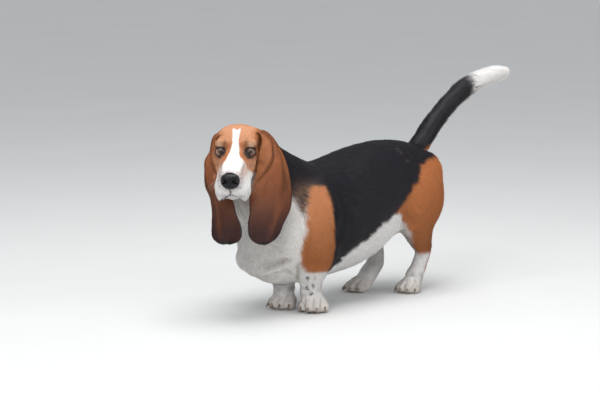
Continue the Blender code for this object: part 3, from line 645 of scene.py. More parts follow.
def even_out(points, edges, times, weight=None):
    """Moves each point half way towards the middle of its neighbours, as often as told."""
    count = len(points)
    first, second = edges.T
    degree = np.maximum(np.bincount(edges.ravel(), minlength=count), 1)[:, None]
    share = 0.5 if weight is None else 0.5 * weight[:, None]
    for _ in range(times):
        total = np.stack([
            np.bincount(first, points[second, k], count)
            + np.bincount(second, points[first, k], count)
            for k in range(3)
        ], axis=1)
        points = points + (total / degree - points) * share
    return points


def inside(polygon, across, up):
    """1 for points in a polygon, 0 for points outside, blended over a soft width at its edge."""
    corners = np.asarray(polygon, float)
    nearest = np.full(len(across), 1e9)
    within = np.zeros(len(across), bool)
    for (ax, ay), (bx, by) in zip(corners, np.roll(corners, -1, axis=0)):
        ex, ey = bx - ax, by - ay
        t = np.clip(((across - ax) * ex + (up - ay) * ey) / (ex * ex + ey * ey), 0, 1)
        nearest = np.minimum(nearest, np.hypot(across - ax - t * ex, up - ay - t * ey))
        if ay != by:
            within ^= ((ay > up) != (by > up)) & (across < ex * (up - ay) / ey + ax)
    return ramp(np.where(within, nearest, -nearest), -EDGE_SOFT, EDGE_SOFT)


def line_distance(points, line):
    """Distance of each point to a line through these points, and how far along it that is, 0 to 1."""
    nearest = np.full(len(points), 1e9)
    along = np.zeros(len(points))
    low, high = line.min(axis=0) - LINE_REACH, line.max(axis=0) + LINE_REACH
    close = np.nonzero(((points > low) & (points < high)).all(axis=1))[0]
    near = points[close]
    best, share = nearest[close], along[close]
    count = len(line) - 1
    for k in range(count):
        edge = line[k + 1] - line[k]
        t = np.clip((near - line[k]) @ edge / max(edge @ edge, 1e-12), 0, 1)
        distance = np.linalg.norm(near - line[k] - t[:, None] * edge, axis=1)
        closer = distance < best
        best = np.where(closer, distance, best)
        share = np.where(closer, (k + t) / count, share)
    nearest[close], along[close] = best, share
    return nearest, along


def search_tree(points):
    tree = KDTree(len(points))
    for k, point in enumerate(points):
        tree.insert(point, k)
    tree.balance()
    return tree


def surface_tree(mesh):
    bm = bmesh.new()
    bm.from_mesh(mesh)
    tree = BVHTree.FromBMesh(bm)
    bm.free()
    return tree


def give_attribute(mesh, name, kind, values):
    """Stores one value for each point of a mesh under a name."""
    field = {"FLOAT_VECTOR": "vector", "FLOAT_COLOR": "color"}.get(kind, "value")
    attribute = mesh.attributes.new(name, kind, "POINT")
    attribute.data.foreach_set(field, np.ascontiguousarray(values).ravel())


def take_attribute(mesh, name, width=1, kind=np.float32):
    values = read(mesh.attributes[name].data, "value" if width == 1 else "vector", width, kind)
    return values if width > 1 else values[:, 0]


def paint(mesh, name, colours):
    give_attribute(mesh, name, "FLOAT_COLOR", np.column_stack([colours, np.ones(len(colours))]))


# Ears as sheets, in the upright frame of the head

EAR_ACROSS = 28
EAR_DOWN = 5
EAR_ROLL_SHARE = 0.28
EAR_FOLD = 0.0085
# How far the front edge folds in towards the cheek, by height
EAR_FLAP = ((-.135, -.115, -.090, -.060, -.030, .000, .022), (0, .006, .013, .016, .012, .008, 0))
EAR_FOLD_LEVELS = (0.026, -0.120)
# Where the valley behind the folded edge lies across the ear, as a share of its width
EAR_VALLEY = 0.36
# How far from the ear's first rows the join with the head is rounded, and how many rows those are
EAR_ROOT_REACH = 0.014
EAR_ROOT_ROWS = 10
# How far from the middle of the leather a point still belongs to the ear, beside half its thickness
EAR_NEAR = 0.0038


def ear_surface(side):
    """Points midway through the leather, as a grid whose rows go down the ear from its root."""
    grid = []
    top, bottom = EAR_FOLD_LEVELS
    place = TO_MODEL @ HEAD_UPRIGHT
    for z, front_x, front_y, back_x, back_y, bow, roll in smooth_rows(EAR_ROWS[side], EAR_DOWN):
        front = Vector((front_x, front_y))
        back = Vector((back_x, back_y))
        fold = EAR_FOLD * max(0.0, sin(pi * min(max((top - z) / (top - bottom), 0.0), 1.0)))
        front += Vector((-np.interp(z, *EAR_FLAP), 0.0))
        chord = back - front
        outward = Vector((chord.y, -chord.x)).normalized()
        low = min(max((-0.06 - z) / 0.14, 0.0), 1.0)
        valley = max(0.0, EAR_VALLEY * (1 - max(0.0, -0.015 - z) / 0.080))
        row = []
        for i in range(EAR_ACROSS + 1):
            u = i / EAR_ACROSS
            curl = max(0.0, 1 - u / EAR_ROLL_SHARE) ** 2
            pleat = bump(u, valley - 0.17, 0.11) - 0.9 * bump(u, valley + 0.03, 0.055)
            pleat += 0.40 * bump(u, 0.62, 0.10) - 0.35 * bump(u, 0.78, 0.06)
            wave = 0.0028 * low * sin(9.0 * u + 22.0 * z) + 0.0022 * sin(5.0 * u + 40.0 * z + side)
            calm = min(1, 6 * u * (1 - u))
            lift = bow * 4 * u * (1 - u) - roll * curl + fold * pleat + wave * calm
            x, y = front + chord * u + outward * lift
            row.append(tuple(place @ Vector((x * side, y, z))))
        grid.append(row)
    return np.array(grid)


def ear_sheet(side):
    """One ear as a closed sheet that thins towards its edge."""
    grid = ear_surface(side)
    rows, columns = grid.shape[:2]
    down = np.gradient(grid, axis=0)
    across = np.gradient(grid, axis=1)
    facing = unit(np.cross(down, across).reshape(-1, 3)).reshape(grid.shape)
    edge_u = np.minimum(np.arange(columns), columns - 1 - np.arange(columns)) / (columns / 2)
    edge_v = np.minimum(1.0, (rows - 1 - np.arange(rows)) / (rows * 0.12))
    thin = np.clip(np.minimum(edge_u[None, :] * 3.0, edge_v[:, None] * 1.4), 0.10, 1.0)
    thick = sizes().ear_thickness / 2 * np.sqrt(thin)
    outer = (grid + facing * thick[:, :, None]).reshape(-1, 3)
    inner = (grid - facing * thick[:, :, None]).reshape(-1, 3)
    count = rows * columns
    number = np.arange(count).reshape(rows, columns)
    faces = []
    for i in range(rows - 1):
        for j in range(columns - 1):
            a, b, c, d = number[i, j], number[i, j + 1], number[i + 1, j + 1], number[i + 1, j]
            faces.append((a, b, c, d))
            faces.append((d + count, c + count, b + count, a + count))
    rim = [(0, j) for j in range(columns)]
    rim += [(i, columns - 1) for i in range(1, rows)]
    rim += [(rows - 1, j) for j in range(columns - 2, -1, -1)]
    rim += [(i, 0) for i in range(rows - 2, 0, -1)]
    rim = [int(number[i, j]) for i, j in rim]
    for a, b in zip(rim, rim[1:] + rim[:1]):
        faces.append((b, a, a + count, b + count))
    faces = [tuple(int(v) for v in face) for face in faces]
    mesh = bpy.data.meshes.new("ear_sheet")
    mesh.from_pydata([tuple(point) for point in np.vstack([outer, inner])], [], faces)
    return shape_object("ear_sheet", lambda bm: bm.from_mesh(mesh))


def ear_index(side):
    """A search tree over one ear's grid, with each grid point's place across and down the ear, the way
    down and the way outward."""
    grid = ear_surface(side)
    rows, columns = grid.shape[:2]
    down = np.gradient(grid, axis=0).reshape(-1, 3)
    across = np.gradient(grid, axis=1).reshape(-1, 3)
    facing = unit(np.cross(down, across))
    outward = np.array(TO_MODEL @ HEAD_UPRIGHT)[:3, 0] * side
    if (facing @ outward).mean() < 0:
        facing = -facing
    u = np.tile(np.arange(columns) / (columns - 1), rows)
    v = np.repeat(np.arange(rows) / (rows - 1), columns)
    return search_tree(grid.reshape(-1, 3)), np.column_stack([u, v]), unit(down), facing


# Building the skin

PAW_TOP = 0.060
TAIL_BASE_Y = 0.300
# How often each point is moved towards its neighbours: everywhere, on the body, at the ears' roots
ROUNDING = 5
BODY_ROUNDING = 23
EAR_ROUNDING = 9


def fused_flesh():
    """The masses of the whole animal in one surface, rounded as the solids are and a coat's depth
    inside them."""
    flesh = shape_object(
        "skin", torso_masses, neck_masses, head_masses, leg_masses, paw_masses, tail_masses
    )
    fuse(flesh, sizes().grid)
    points = read_points(flesh.data)
    broad = (points[:, 2] > PAW_TOP) & (points[:, 1] < TAIL_BASE_Y) & (ahead_of_neck(points) < 0)
    edges = read_edges(flesh.data)
    points = even_out(points, edges, ROUNDING)
    points = even_out(points, edges, BODY_ROUNDING, broad.astype(float))
    write_points(flesh.data, moved(points, TO_MODEL))
    points = read_points(flesh.data) - read_normals(flesh.data) * sizes().depth
    write_points(flesh.data, points)
    return flesh


def add_ears(skin):
    """Joins the ears to the head and rounds the place where they meet it."""
    for side in (1, -1):
        carve(skin, ear_sheet(side), "UNION", "MANIFOLD")
    points = read_points(skin.data)
    weight = np.zeros(len(points))
    for side in (1, -1):
        root = ear_surface(side)[:EAR_ROOT_ROWS].reshape(-1, 3)
        low, high = root.min(axis=0) - EAR_ROOT_REACH, root.max(axis=0) + EAR_ROOT_REACH
        tree = search_tree(root)
        for k in np.nonzero(((points > low) & (points < high)).all(axis=1))[0]:
            weight[k] = max(weight[k], 1 - tree.find(points[k])[2] / EAR_ROOT_REACH)
    write_points(skin.data, even_out(points, read_edges(skin.data), EAR_ROUNDING, weight))


def ear_map(points, normals):
    """For each point its ear, 1, -1 or 0, its place across and down the ear, 1 on the outer face or
    -1 on the inner one, and the way down the ear."""
    which = np.zeros(len(points))
    place = np.zeros((len(points), 3))
    way = np.zeros((len(points), 3))
    head = in_head(points)
    reach = sizes().ear_thickness / 2 + EAR_NEAR
    for side in (1, -1):
        tree, uv, down, facing = ear_index(side)
        for k in np.nonzero((head[:, 0] * side > -0.08) & (head[:, 1] > -0.12))[0]:
            _, nearest, distance = tree.find(points[k])
            if distance < reach:
                which[k] = side
                outer = 1.0 if facing[nearest] @ normals[k] > 0 else -1.0
                place[k] = (*uv[nearest], outer)
                way[k] = down[nearest]
    return which, place, way


def refine(skin, chosen):
    """Splits the edges whose two ends are both chosen, and rounds the new surface."""
    bm = bmesh.new()
    bm.from_mesh(skin.data)
    edges = [e for e in bm.edges if chosen[e.verts[0].index] and chosen[e.verts[1].index]]
    bmesh.ops.subdivide_edges(bm, edges=edges, cuts=1, use_grid_fill=True)
    odd = [face for face in bm.faces if len(face.verts) > 4]
    bmesh.ops.triangulate(bm, faces=odd)
    bm.to_mesh(skin.data)
    bm.free()
    return read_points(skin.data)


def face_region(head):
    """Which points, in the head's frame, are of the face."""
    x, y, z = head.T
    return (np.abs(x) < 0.056) & (y < 0.012) & (y > -0.14) & (z > -0.105)


def refined_skin(skin):
    """Makes the skin finer on the head and paws, again on the face, and once more round the eyes."""
    points = read_points(skin.data)
    ears, _, _ = ear_map(points, read_normals(skin.data))
    head = in_head(points)
    fine = (ahead_of_neck(points, TO_MODEL) > 0) & (ears == 0) | (points[:, 2] < PAW_TOP)
    fine |= (np.abs(head[:, 0]) < 0.07) & (head[:, 1] < 0.06) & (head[:, 2] > -0.14) & (ears == 0)
    points = refine(skin, fine)
    face = face_region(in_head(points))
    weight = np.where(face | (points[:, 2] < PAW_TOP), 1.0, 0.6)
    write_points(skin.data, even_out(points, read_edges(skin.data), 2, weight))
    points = refine(skin, face)
    head = in_head(points)
    points = even_out(points, read_edges(skin.data), 3, face_region(head).astype(float))
    write_points(skin.data, points)
    eyes = np.zeros(len(points), bool)
    for side in (1, -1):
        eyes |= np.linalg.norm(head - np.array((EYE_AT.x * side, EYE_AT.y, EYE_AT.z)), axis=1) < 0.021
    write_points(skin.data, refine(skin, eyes))


# Creases and folds. A line is its points, then its half width and how far it stands out or sinks in.
# The first set is in the head's frame, and each of its lines is on both sides.

FACE_LINES = (
    # ridge of the brow, the furrow over it and the corner of the brow
    (((0.016, -0.010, 0.021), (0.030, -0.012, 0.024), (0.044, -0.002, 0.018)), 0.0050, 0.0016),
    (((0.010, -0.010, 0.024), (0.016, -0.004, 0.034), (0.026, 0.004, 0.042)), 0.0035, -0.0009),
    (((0.024, -0.004, 0.032), (0.034, 0.002, 0.034), (0.044, 0.010, 0.028)), 0.0030, -0.0007),
    # pouch under the eye: its groove, its fold and the groove below that
    (((0.019, -0.022, -0.012), (0.030, -0.022, -0.018), (0.044, -0.010, -0.013)), 0.0022, -0.0014),
    (((0.018, -0.026, -0.018), (0.030, -0.026, -0.024), (0.046, -0.010, -0.019)), 0.0034, 0.0013),
    (((0.020, -0.030, -0.025), (0.032, -0.026, -0.032), (0.047, -0.006, -0.027)), 0.0026, -0.0011),
    # side of the muzzle, and the fold from the corner of the mouth up the cheek
    (((0.015, -0.026, -0.004), (0.021, -0.050, -0.014), (0.026, -0.082, -0.026)), 0.0046, -0.0011),
    (((0.042, -0.012, -0.052), (0.047, 0.000, -0.042), (0.050, 0.016, -0.034)), 0.0040, -0.0022),
    (((0.042, -0.018, -0.046), (0.048, -0.006, -0.036), (0.051, 0.010, -0.028)), 0.0040, 0.0014),
    (((0.040, 0.004, -0.060), (0.047, 0.020, -0.050), (0.050, 0.036, -0.038)), 0.0045, -0.0020),
    # flews: the swell over the lip and its hanging edge
    (((0.036, -0.030, -0.060), (0.037, -0.056, -0.074), (0.031, -0.082, -0.078)), 0.0080, 0.0016),
    (((0.014, -0.108, -0.060), (0.024, -0.098, -0.058), (0.034, -0.080, -0.056)), 0.0050, 0.0010),
)
MIDDLE_LINES = (
    # in the head's frame: the lips' meeting in front, the groove under the nose and the forehead
    (((0.008, -0.117, -0.071), (0.0, -0.118, -0.066), (-0.008, -0.117, -0.071)), 0.0016, -0.0040),
    (((0.0, -0.122, -0.050), (0.0, -0.120, -0.060), (0.0, -0.116, -0.072)), 0.0015, -0.0030),
    (((0.001, -0.012, 0.026), (0.001, 0.010, 0.040), (0.001, 0.036, 0.048)), 0.0060, -0.0016),
)
# From the lip line up to the swell over it
LIP_SHIFT = (0.0, 0.0, 0.0035)
# How far the lower jaw lies behind the upper lips
JAW_BACK = 0.0100
# Height of the upper lips' edge in front, by how far it is from the middle
JAW_EDGE = ((0.0, 0.006, 0.012, 0.019, 0.026), (-0.0670, -0.0700, -0.0765, -0.0830, -0.0880))
THROAT_LINES = (
    # folds of loose skin on the throat, chest and flank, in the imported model's frame
    (((0.055, -0.375, 0.300), (0.048, -0.372, 0.262), (0.036, -0.362, 0.222)), 0.0070, -0.0040),
    (((0.030, -0.382, 0.300), (0.024, -0.378, 0.255), (0.018, -0.366, 0.210)), 0.0065, 0.0035),
    (((0.008, -0.378, 0.292), (0.004, -0.372, 0.250), (0.002, -0.356, 0.205)), 0.0065, -0.0040),
    (((-0.016, -0.370, 0.290), (-0.018, -0.362, 0.250), (-0.014, -0.350, 0.205)), 0.0070, 0.0030),
    (((-0.040, -0.352, 0.290), (-0.038, -0.350, 0.245), (-0.030, -0.345, 0.200)), 0.0070, -0.0035),
    (((0.075, -0.345, 0.290), (0.078, -0.338, 0.255), (0.072, -0.330, 0.215)), 0.0080, -0.0025),
    (((0.012, -0.340, 0.117), (0.049, -0.329, 0.128), (0.078, -0.309, 0.140)), 0.0075, -0.0095),
    (((0.036, -0.330, 0.110), (0.051, -0.306, 0.104), (0.061, -0.283, 0.098)), 0.0065, -0.0060),
    (((0.082, -0.288, 0.124), (0.066, -0.268, 0.100), (0.050, -0.252, 0.080)), 0.0070, -0.0060),
    (((0.014, -0.334, 0.104), (0.048, -0.324, 0.114), (0.082, -0.302, 0.130)), 0.0065, 0.0050),
    (((0.010, -0.312, 0.079), (0.044, -0.300, 0.091), (0.074, -0.284, 0.108)), 0.0055, -0.0062),
    (((0.046, -0.340, 0.180), (0.066, -0.328, 0.162), (0.092, -0.298, 0.158)), 0.0070, -0.0060),
    (((0.030, -0.348, 0.200), (0.040, -0.345, 0.170), (0.062, -0.330, 0.150)), 0.0080, 0.0040),
    (((-0.060, -0.315, 0.130), (-0.040, -0.328, 0.122), (-0.015, -0.335, 0.116)), 0.0060, -0.0024),
    (((0.000, -0.335, 0.190), (0.000, -0.340, 0.165), (0.004, -0.338, 0.140)), 0.0100, -0.0020),
)
BODY_LINES = (
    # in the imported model's frame, on both sides: elbow, flank, stifle, hock and wrist
    (((0.118, -0.140, 0.250), (0.122, -0.135, 0.205), (0.118, -0.140, 0.160)), 0.0140, -0.0045),
    (((0.112, -0.180, 0.120), (0.108, -0.155, 0.116), (0.100, -0.135, 0.120)), 0.0060, -0.0030),
    (((0.098, 0.060, 0.205), (0.106, 0.085, 0.190), (0.100, 0.105, 0.165)), 0.0110, -0.0045),
    (((0.096, 0.040, 0.175), (0.100, 0.070, 0.160), (0.092, 0.095, 0.140)), 0.0090, 0.0035),
    (((0.118, 0.090, 0.290), (0.124, 0.100, 0.240), (0.116, 0.104, 0.200)), 0.0160, -0.0035),
    (((0.090, 0.205, 0.110), (0.086, 0.185, 0.100), (0.080, 0.170, 0.092)), 0.0050, -0.0018),
)
LEG_LINES = (
    # wrinkles above the paws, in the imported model's frame
    (((0.034, -0.238, 0.070), (0.060, -0.246, 0.066), (0.086, -0.232, 0.068)), 0.0042, -0.0022),
    (((0.032, -0.236, 0.056), (0.060, -0.244, 0.051), (0.088, -0.228, 0.054)), 0.0040, -0.0019),
    (((-0.044, -0.246, 0.066), (-0.022, -0.254, 0.063), (0.002, -0.246, 0.066)), 0.0040, -0.0020),
    (((-0.042, -0.248, 0.052), (-0.018, -0.256, 0.049), (0.006, -0.246, 0.052)), 0.0040, -0.0018),
    (((0.038, 0.150, 0.040), (0.056, 0.136, 0.038), (0.076, 0.150, 0.040)), 0.0040, -0.0016),
)
# Gaps between toes, as how far they are sideways and forward on the paw
TOE_GAPS = ((-0.0188, 0.014), (0.0, 0.024), (0.0188, 0.014))
# Points of the curve between two points of a line
LINE_STEPS = 4
# Hollow for the nose in the head's frame: its middle, its half width and height, and its bottom
NOSE_MIDDLE_Z = -0.0350
NOSE_HOLLOW = (0.0215, 0.0185)
NOSE_HOLLOW_Y = -0.1040


def line_shift(points, facing, tree, line, width, rise):
    """How far a fold moves each point along its own facing."""
    path = [tree.find_nearest(Vector(point))[0] for point in smooth_rows(line, LINE_STEPS)]
    distance, along = line_distance(points, np.array(path, float))
    ends = ramp(along, -0.02, 0.22) * ramp(1 - along, -0.02, 0.22)
    return facing * (rise * np.exp(-((distance / width) ** 2)) * ends)[:, None]


def crease(skin):
    """Presses the folds into the skin."""
    points = read_points(skin.data)
    facing = read_normals(skin.data)
    ears, _, _ = ear_map(points, facing)
    tree = surface_tree(skin.data)
    shift = np.zeros_like(points)
    jobs = []
    for side in (1, -1):
        mirror = np.array((side, 1, 1))
        for line, width, rise in FACE_LINES:
            jobs.append((moved(np.array(line) * mirror, HEAD_IN_MODEL), width, rise))
        lip = np.array(LIP_LINE)[:, :3] * mirror
        jobs.append((moved(lip, HEAD_IN_MODEL), 0.0016, -0.0042))
        jobs.append((moved(lip + LIP_SHIFT, HEAD_IN_MODEL), 0.0022, 0.0012))
        for line, width, rise in BODY_LINES:
            jobs.append((np.array(line) * mirror, width, rise))
    for line, width, rise in MIDDLE_LINES:
        jobs.append((moved(np.array(line), HEAD_IN_MODEL), width, rise))
    jobs += [(np.array(line), width, rise) for line, width, rise in THROAT_LINES + LEG_LINES]
    for name in FEET:
        place = TO_MODEL @ paw_place(name)
        for sideways, forward in TOE_GAPS:
            gap = np.array([
                (sideways * 1.12, -forward - 0.018, 0.004),
                (sideways * 1.06, -forward - 0.012, 0.020),
                (sideways, -forward + 0.002, 0.030),
                (sideways * 0.85, -forward + 0.014, 0.038),
            ])
            jobs.append((moved(gap, place), 0.0030, -0.0030))
    for line, width, rise in jobs:
        shift += line_shift(points, facing, tree, line, width, rise)
    # small unevenness of muscle and loose skin
    loose = 0.0011 * cloud(points, 0.045, 3) + 0.0005 * cloud(points, 0.016, 4)
    head = in_head(points)
    calm = np.where((head[:, 1] < 0.05) & (np.abs(head[:, 0]) < 0.06), 0.35, 1.0)
    shift += facing * (loose * calm)[:, None]
    shift[ears != 0] = 0
    points = points + shift
    # the lower jaw lies behind the upper lips
    head = in_head(points)
    out = np.abs(head[:, 0])
    under = np.interp(out, *JAW_EDGE) - head[:, 2]
    back = JAW_BACK * ramp(under, 0.0, 0.0040) * (1 - ramp(out, 0.017, 0.025)) * (head[:, 1] < -0.06)
    head[ears == 0, 1] += back[ears == 0]
    points = moved(head, HEAD_IN_MODEL)
    # hollow in front for the nose
    head = in_head(points)
    half_width, half_height = NOSE_HOLLOW
    pad = (head[:, 0] / half_width) ** 2 + ((head[:, 2] - NOSE_MIDDLE_Z) / half_height) ** 2 < 1
    pad &= head[:, 1] < -0.098
    head[pad, 1] = np.maximum(head[pad, 1], NOSE_HOLLOW_Y)
    points[pad] = moved(head[pad], HEAD_IN_MODEL)
    points[:, 2] = np.maximum(points[:, 2], 0.0004)
    write_points(skin.data, points)


# Lids. The opening is an oval that is a little wider than it is high.

LID_TURN_OUT = radians(7)
LID_PITCH = radians(-8)
OPENING_HALF = 0.0112
OPENING_HALF_HEIGHT = 0.0092
OPENING_POWER = 1.85
OPENING_POINTS = 72
# How far the lids stand off the eyeball, and how far their inner edge sinks into it
LID_STANDS = 0.0021
LID_SINKS = 0.0022
# The opening is measured on a ball whose radius is this many times the eyeball's
LID_BALL = 1.1


def lid_frame(side):
    x, y, z = EYE_AT
    turn = Matrix.Rotation(LID_TURN_OUT * side, 4, "Z") @ Matrix.Rotation(LID_PITCH, 4, "X")
    return HEAD_IN_MODEL @ Matrix.Translation((x * side, y, z)) @ turn


def form_lids(skin):
    """Lays the skin over each eye as lids, with an opening whose edge turns in behind the rims."""
    points = read_points(skin.data)
    for side in (1, -1):
        place = lid_frame(side)
        local = moved(points, place.inverted())
        radius = np.linalg.norm(local, axis=1)
        close = np.nonzero((radius < 0.034) & (local[:, 1] < 0.001))[0]
        near, reach = local[close], radius[close]
        direction = near / reach[:, None]
        across, up = direction[:, 0] * EYE_RADIUS * LID_BALL, direction[:, 2] * EYE_RADIUS * LID_BALL
        measure = (np.abs(across) / OPENING_HALF) ** OPENING_POWER
        measure += (np.abs(up) / OPENING_HALF_HEIGHT) ** OPENING_POWER
        measure **= 1 / OPENING_POWER
        front = ramp(-direction[:, 1], 0.10, 0.45)
        hold = (1 - ramp(measure, 1.12, 1.50)) * front
        folded = LID_STANDS - 0.0011 * bump(measure, 1.40, 0.07) * (up > 0)
        folded -= 0.0009 * bump(measure, 1.42, 0.07) * (up <= 0)
        new = reach + (EYE_RADIUS + folded - reach) * hold
        sunk = ramp(1 - measure, 0.0, 0.09) * front
        new = new + (EYE_RADIUS - LID_SINKS - new) * sunk
        points[close] = moved(direction * new[:, None], place)
    write_points(skin.data, points)


def opening_ring(side, share, stands):
    """Points round the opening, at a share of its size, this far from the eyeball."""
    place = lid_frame(side)
    ring = []
    power = 2 / OPENING_POWER
    for turn in np.arange(OPENING_POINTS) * 2 * pi / OPENING_POINTS:
        c, s = cos(turn), sin(turn)
        x = np.sign(c) * abs(c) ** power * OPENING_HALF
        z = np.sign(s) * abs(s) ** power * OPENING_HALF_HEIGHT
        x, z = x * share / (EYE_RADIUS * LID_BALL), z * share / (EYE_RADIUS * LID_BALL)
        y = -max(0.0, 1 - x * x - z * z) ** 0.5
        ring.append(place @ (Vector((x, y, z)) * (EYE_RADIUS + stands)))
    return ring


# Markings, as outlines seen from the side (y, z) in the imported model's frame

SADDLE = (
    (-.345, .420), (-.335, .330), (-.300, .262), (-.284, .248), (-.272, .271), (-.247, .296),
    (-.216, .296), (-.220, .255), (-.217, .214), (-.214, .175), (-.200, .135), (-.203, .100),
    (-.149, .112), (-.129, .139), (-.084, .159), (-.037, .188), (.020, .213), (.067, .239),
    (.103, .271), (.142, .315), (.225, .335), (.262, .352), (.262, .450), (-.345, .450),
)
SHOULDER = (
    (-.247, .296), (-.272, .271), (-.282, .242), (-.286, .210), (-.288, .185), (-.292, .155),
    (-.276, .126), (-.251, .103), (-.238, .096), (-.217, .095), (-.203, .104), (-.200, .135),
    (-.214, .175), (-.217, .214), (-.220, .255), (-.216, .296),
)
THIGH = (
    (.020, .214), (.067, .239), (.103, .271), (.142, .315), (.225, .335), (.262, .352), (.320, .340),
    (.320, .090), (.150, .088), (.128, .105), (.113, .134), (.083, .175), (.052, .205),
)
# White of the face as seen from in front: height, then the left and right edges, in the head's frame
BLAZE = (
    (-.100, -.046, .052), (-.060, -.042, .048), (-.045, -.034, .041), (-.024, -.029, .0325),
    (-.017, -.026, .0290), (-.010, -.0205, .0240), (.000, -.0125, .0130), (.010, -.0080, .0098),
    (.019, -.0063, .0080), (.030, -.0072, .0078), (.042, -.0088, .0082), (.060, -.0088, .0082),
)
FORELEG_SPOTS = (
    (.075, -.242, .085), (.082, -.229, .068), (.068, -.238, .060), (.076, -.229, .046),
    (-.030, -.246, .078), (-.004, -.250, .060), (-.036, -.240, .052),
)
# Lines along the bottom of the chest's folds, where shade is painted into the coat's colour
CHEST_FOLD_SHADE = (
    ((.012, -.336, .117), (.049, -.324, .127), (.078, -.304, .139)),
    ((.036, -.326, .110), (.051, -.302, .104), (.061, -.280, .099)),
    ((.082, -.284, .124), (.066, -.264, .100), (.050, -.249, .080)),
)
FLECKS = ((.057, .086, .353), (.081, .096, .330), (.067, .093, .346))


def body_tone(points, normals, hues):
    """Colour of the body and legs, and the share of dark hairs in it."""
    count = len(points)
    ragged = points + 0.0035 * clouds(points, 0.014, (11, 12, 13))
    x, y, z = ragged.T
    out = np.abs(x)
    tone = np.tile(hues["white"], (count, 1))
    dark = np.zeros(count)

    # ticked belly, flank and inner side of the hind legs
    inner = ramp(y, 0.02, 0.12) * ramp(z, 0.085, 0.13) * ramp(0.125 - out, 0.0, 0.02)
    tone = blend(tone, hues["white"] * (0.62, 0.54, 0.50), 0.55 * inner)
    dark = np.maximum(dark, 0.16 * inner)

    saddle = inside(SADDLE, y, z)
    neck_back = ramp(z, 0.285, 0.31) * ramp(-y, 0.24, 0.27)
    over = np.maximum(saddle, neck_back)
    shoulder = inside(SHOULDER, y, z) * ramp(out, 0.050, 0.066) * ramp(z, 0.094, 0.106)
    shoulder *= np.where(points[:, 0] < 0, ramp(y, -0.245, -0.222), 1.0)
    facing_out = ramp(normals[:, 0] * np.sign(points[:, 0]), -0.30, 0.15)
    facing_out = np.maximum(facing_out, ramp(y, 0.235, 0.262) * ramp(z, 0.10, 0.14))
    facing_out = np.maximum(facing_out, ramp(normals[:, 1], -0.05, 0.30) * ramp(y, 0.15, 0.19))
    thigh = inside(THIGH, y, z) * facing_out * ramp(z, 0.086, 0.104)
    rump = ramp(y, 0.235, 0.262) * ramp(0.372 - z, 0.0, 0.02) * ramp(z, 0.12, 0.16)
    thigh = np.maximum(thigh, rump)

    light = hues["tan"]
    deep = hues["rust"]
    shade = ramp(z, 0.12, 0.28)
    shoulder_tone = blend(deep * 1.10, light, shade)
    thigh_tone = blend(deep * 0.95, deep * 1.25, ramp(z, 0.12, 0.30))
    thigh_tone = blend(thigh_tone, light * 0.8, ramp(y, 0.21, 0.27) * 0.6)
    brown = hues["black"] + hues["rust"] * 0.12 * (1 - saddle * saddle)[:, None]
    total = over + shoulder + thigh
    mixed = brown * over[:, None] + shoulder_tone * shoulder[:, None] + thigh_tone * thigh[:, None]
    mixed = mixed / np.maximum(total, 1e-6)[:, None]
    tone = blend(tone, mixed, np.clip(total, 0, 1))
    dark *= 1 - np.clip(total, 0, 1)
    # a tan stripe runs down the back of each hock
    stripe = ramp(z, 0.050, 0.066) * (1 - ramp(z, 0.094, 0.110)) * ramp(y, 0.135, 0.165)
    stripe *= ramp(points[:, 0] * normals[:, 0] + 0.02 * normals[:, 1], -0.01, 0.012)
    tone = blend(tone, deep * 1.2, 0.8 * stripe * ramp(normals[:, 1], -0.1, 0.5))

    # grey patch on each side of the neck, and the white wedge before it
    patch = lump((out, y, z), (0.085, -0.262, 0.268), (0.045, 0.030, 0.030))
    patch = np.clip(1.5 * patch, 0, 1) * (1 - shoulder)
    tone = blend(tone, hues["rust"] * (0.75, 1.15, 1.9), 0.80 * patch)
    dark = np.maximum(dark, 0.50 * patch)
    # white of the throat and chest under the neck
    throat = ramp(-y, 0.283, 0.300) * (1 - ramp(z, 0.262, 0.290))
    throat += ramp(-y, 0.33, 0.345) * (z < 0.345)
    throat = np.clip(throat, 0, 1) * ramp(0.115 - out, 0.0, 0.01)
    throat = np.maximum(throat, ramp(-y, 0.25, 0.29) * (1 - ramp(out, 0.045, 0.062)) * (z < 0.27))
    tone = blend(tone, hues["white"] * (1.0, 0.99, 0.97), throat)
    dark *= 1 - throat

    # painted shade at the bottom of the chest's folds
    for line in CHEST_FOLD_SHADE:
        fold, _ = line_distance(points, np.array(line))
        tone = blend(tone, tone * (0.50, 0.44, 0.38), 0.75 * bump(fold, 0.0, 0.0040))

    # ticking on the forelegs and paws, warmer towards the floor
    leg = 1 - ramp(z, 0.085, 0.105)
    tone = blend(tone, tone * (0.93, 0.88, 0.82), leg * ramp(0.05 - z, 0, 0.05))
    for middle in FORELEG_SPOTS:
        share = dot(ragged, middle, 0.0035, 0.0075)
        tone = blend(tone, hues["grey"], 0.75 * share)
        dark = np.maximum(dark, 0.4 * share)
    freckle = ramp(cloud(points, 0.011, 21), 0.42, 0.72) * leg * (z > 0.018)
    tone = blend(tone, hues["grey"] * 1.6, 0.40 * freckle)
    for middle in FLECKS:
        tone = blend(tone, hues["grey"] * 0.8, 0.28 * dot(ragged, middle, 0.003, 0.008))
    return tone, dark


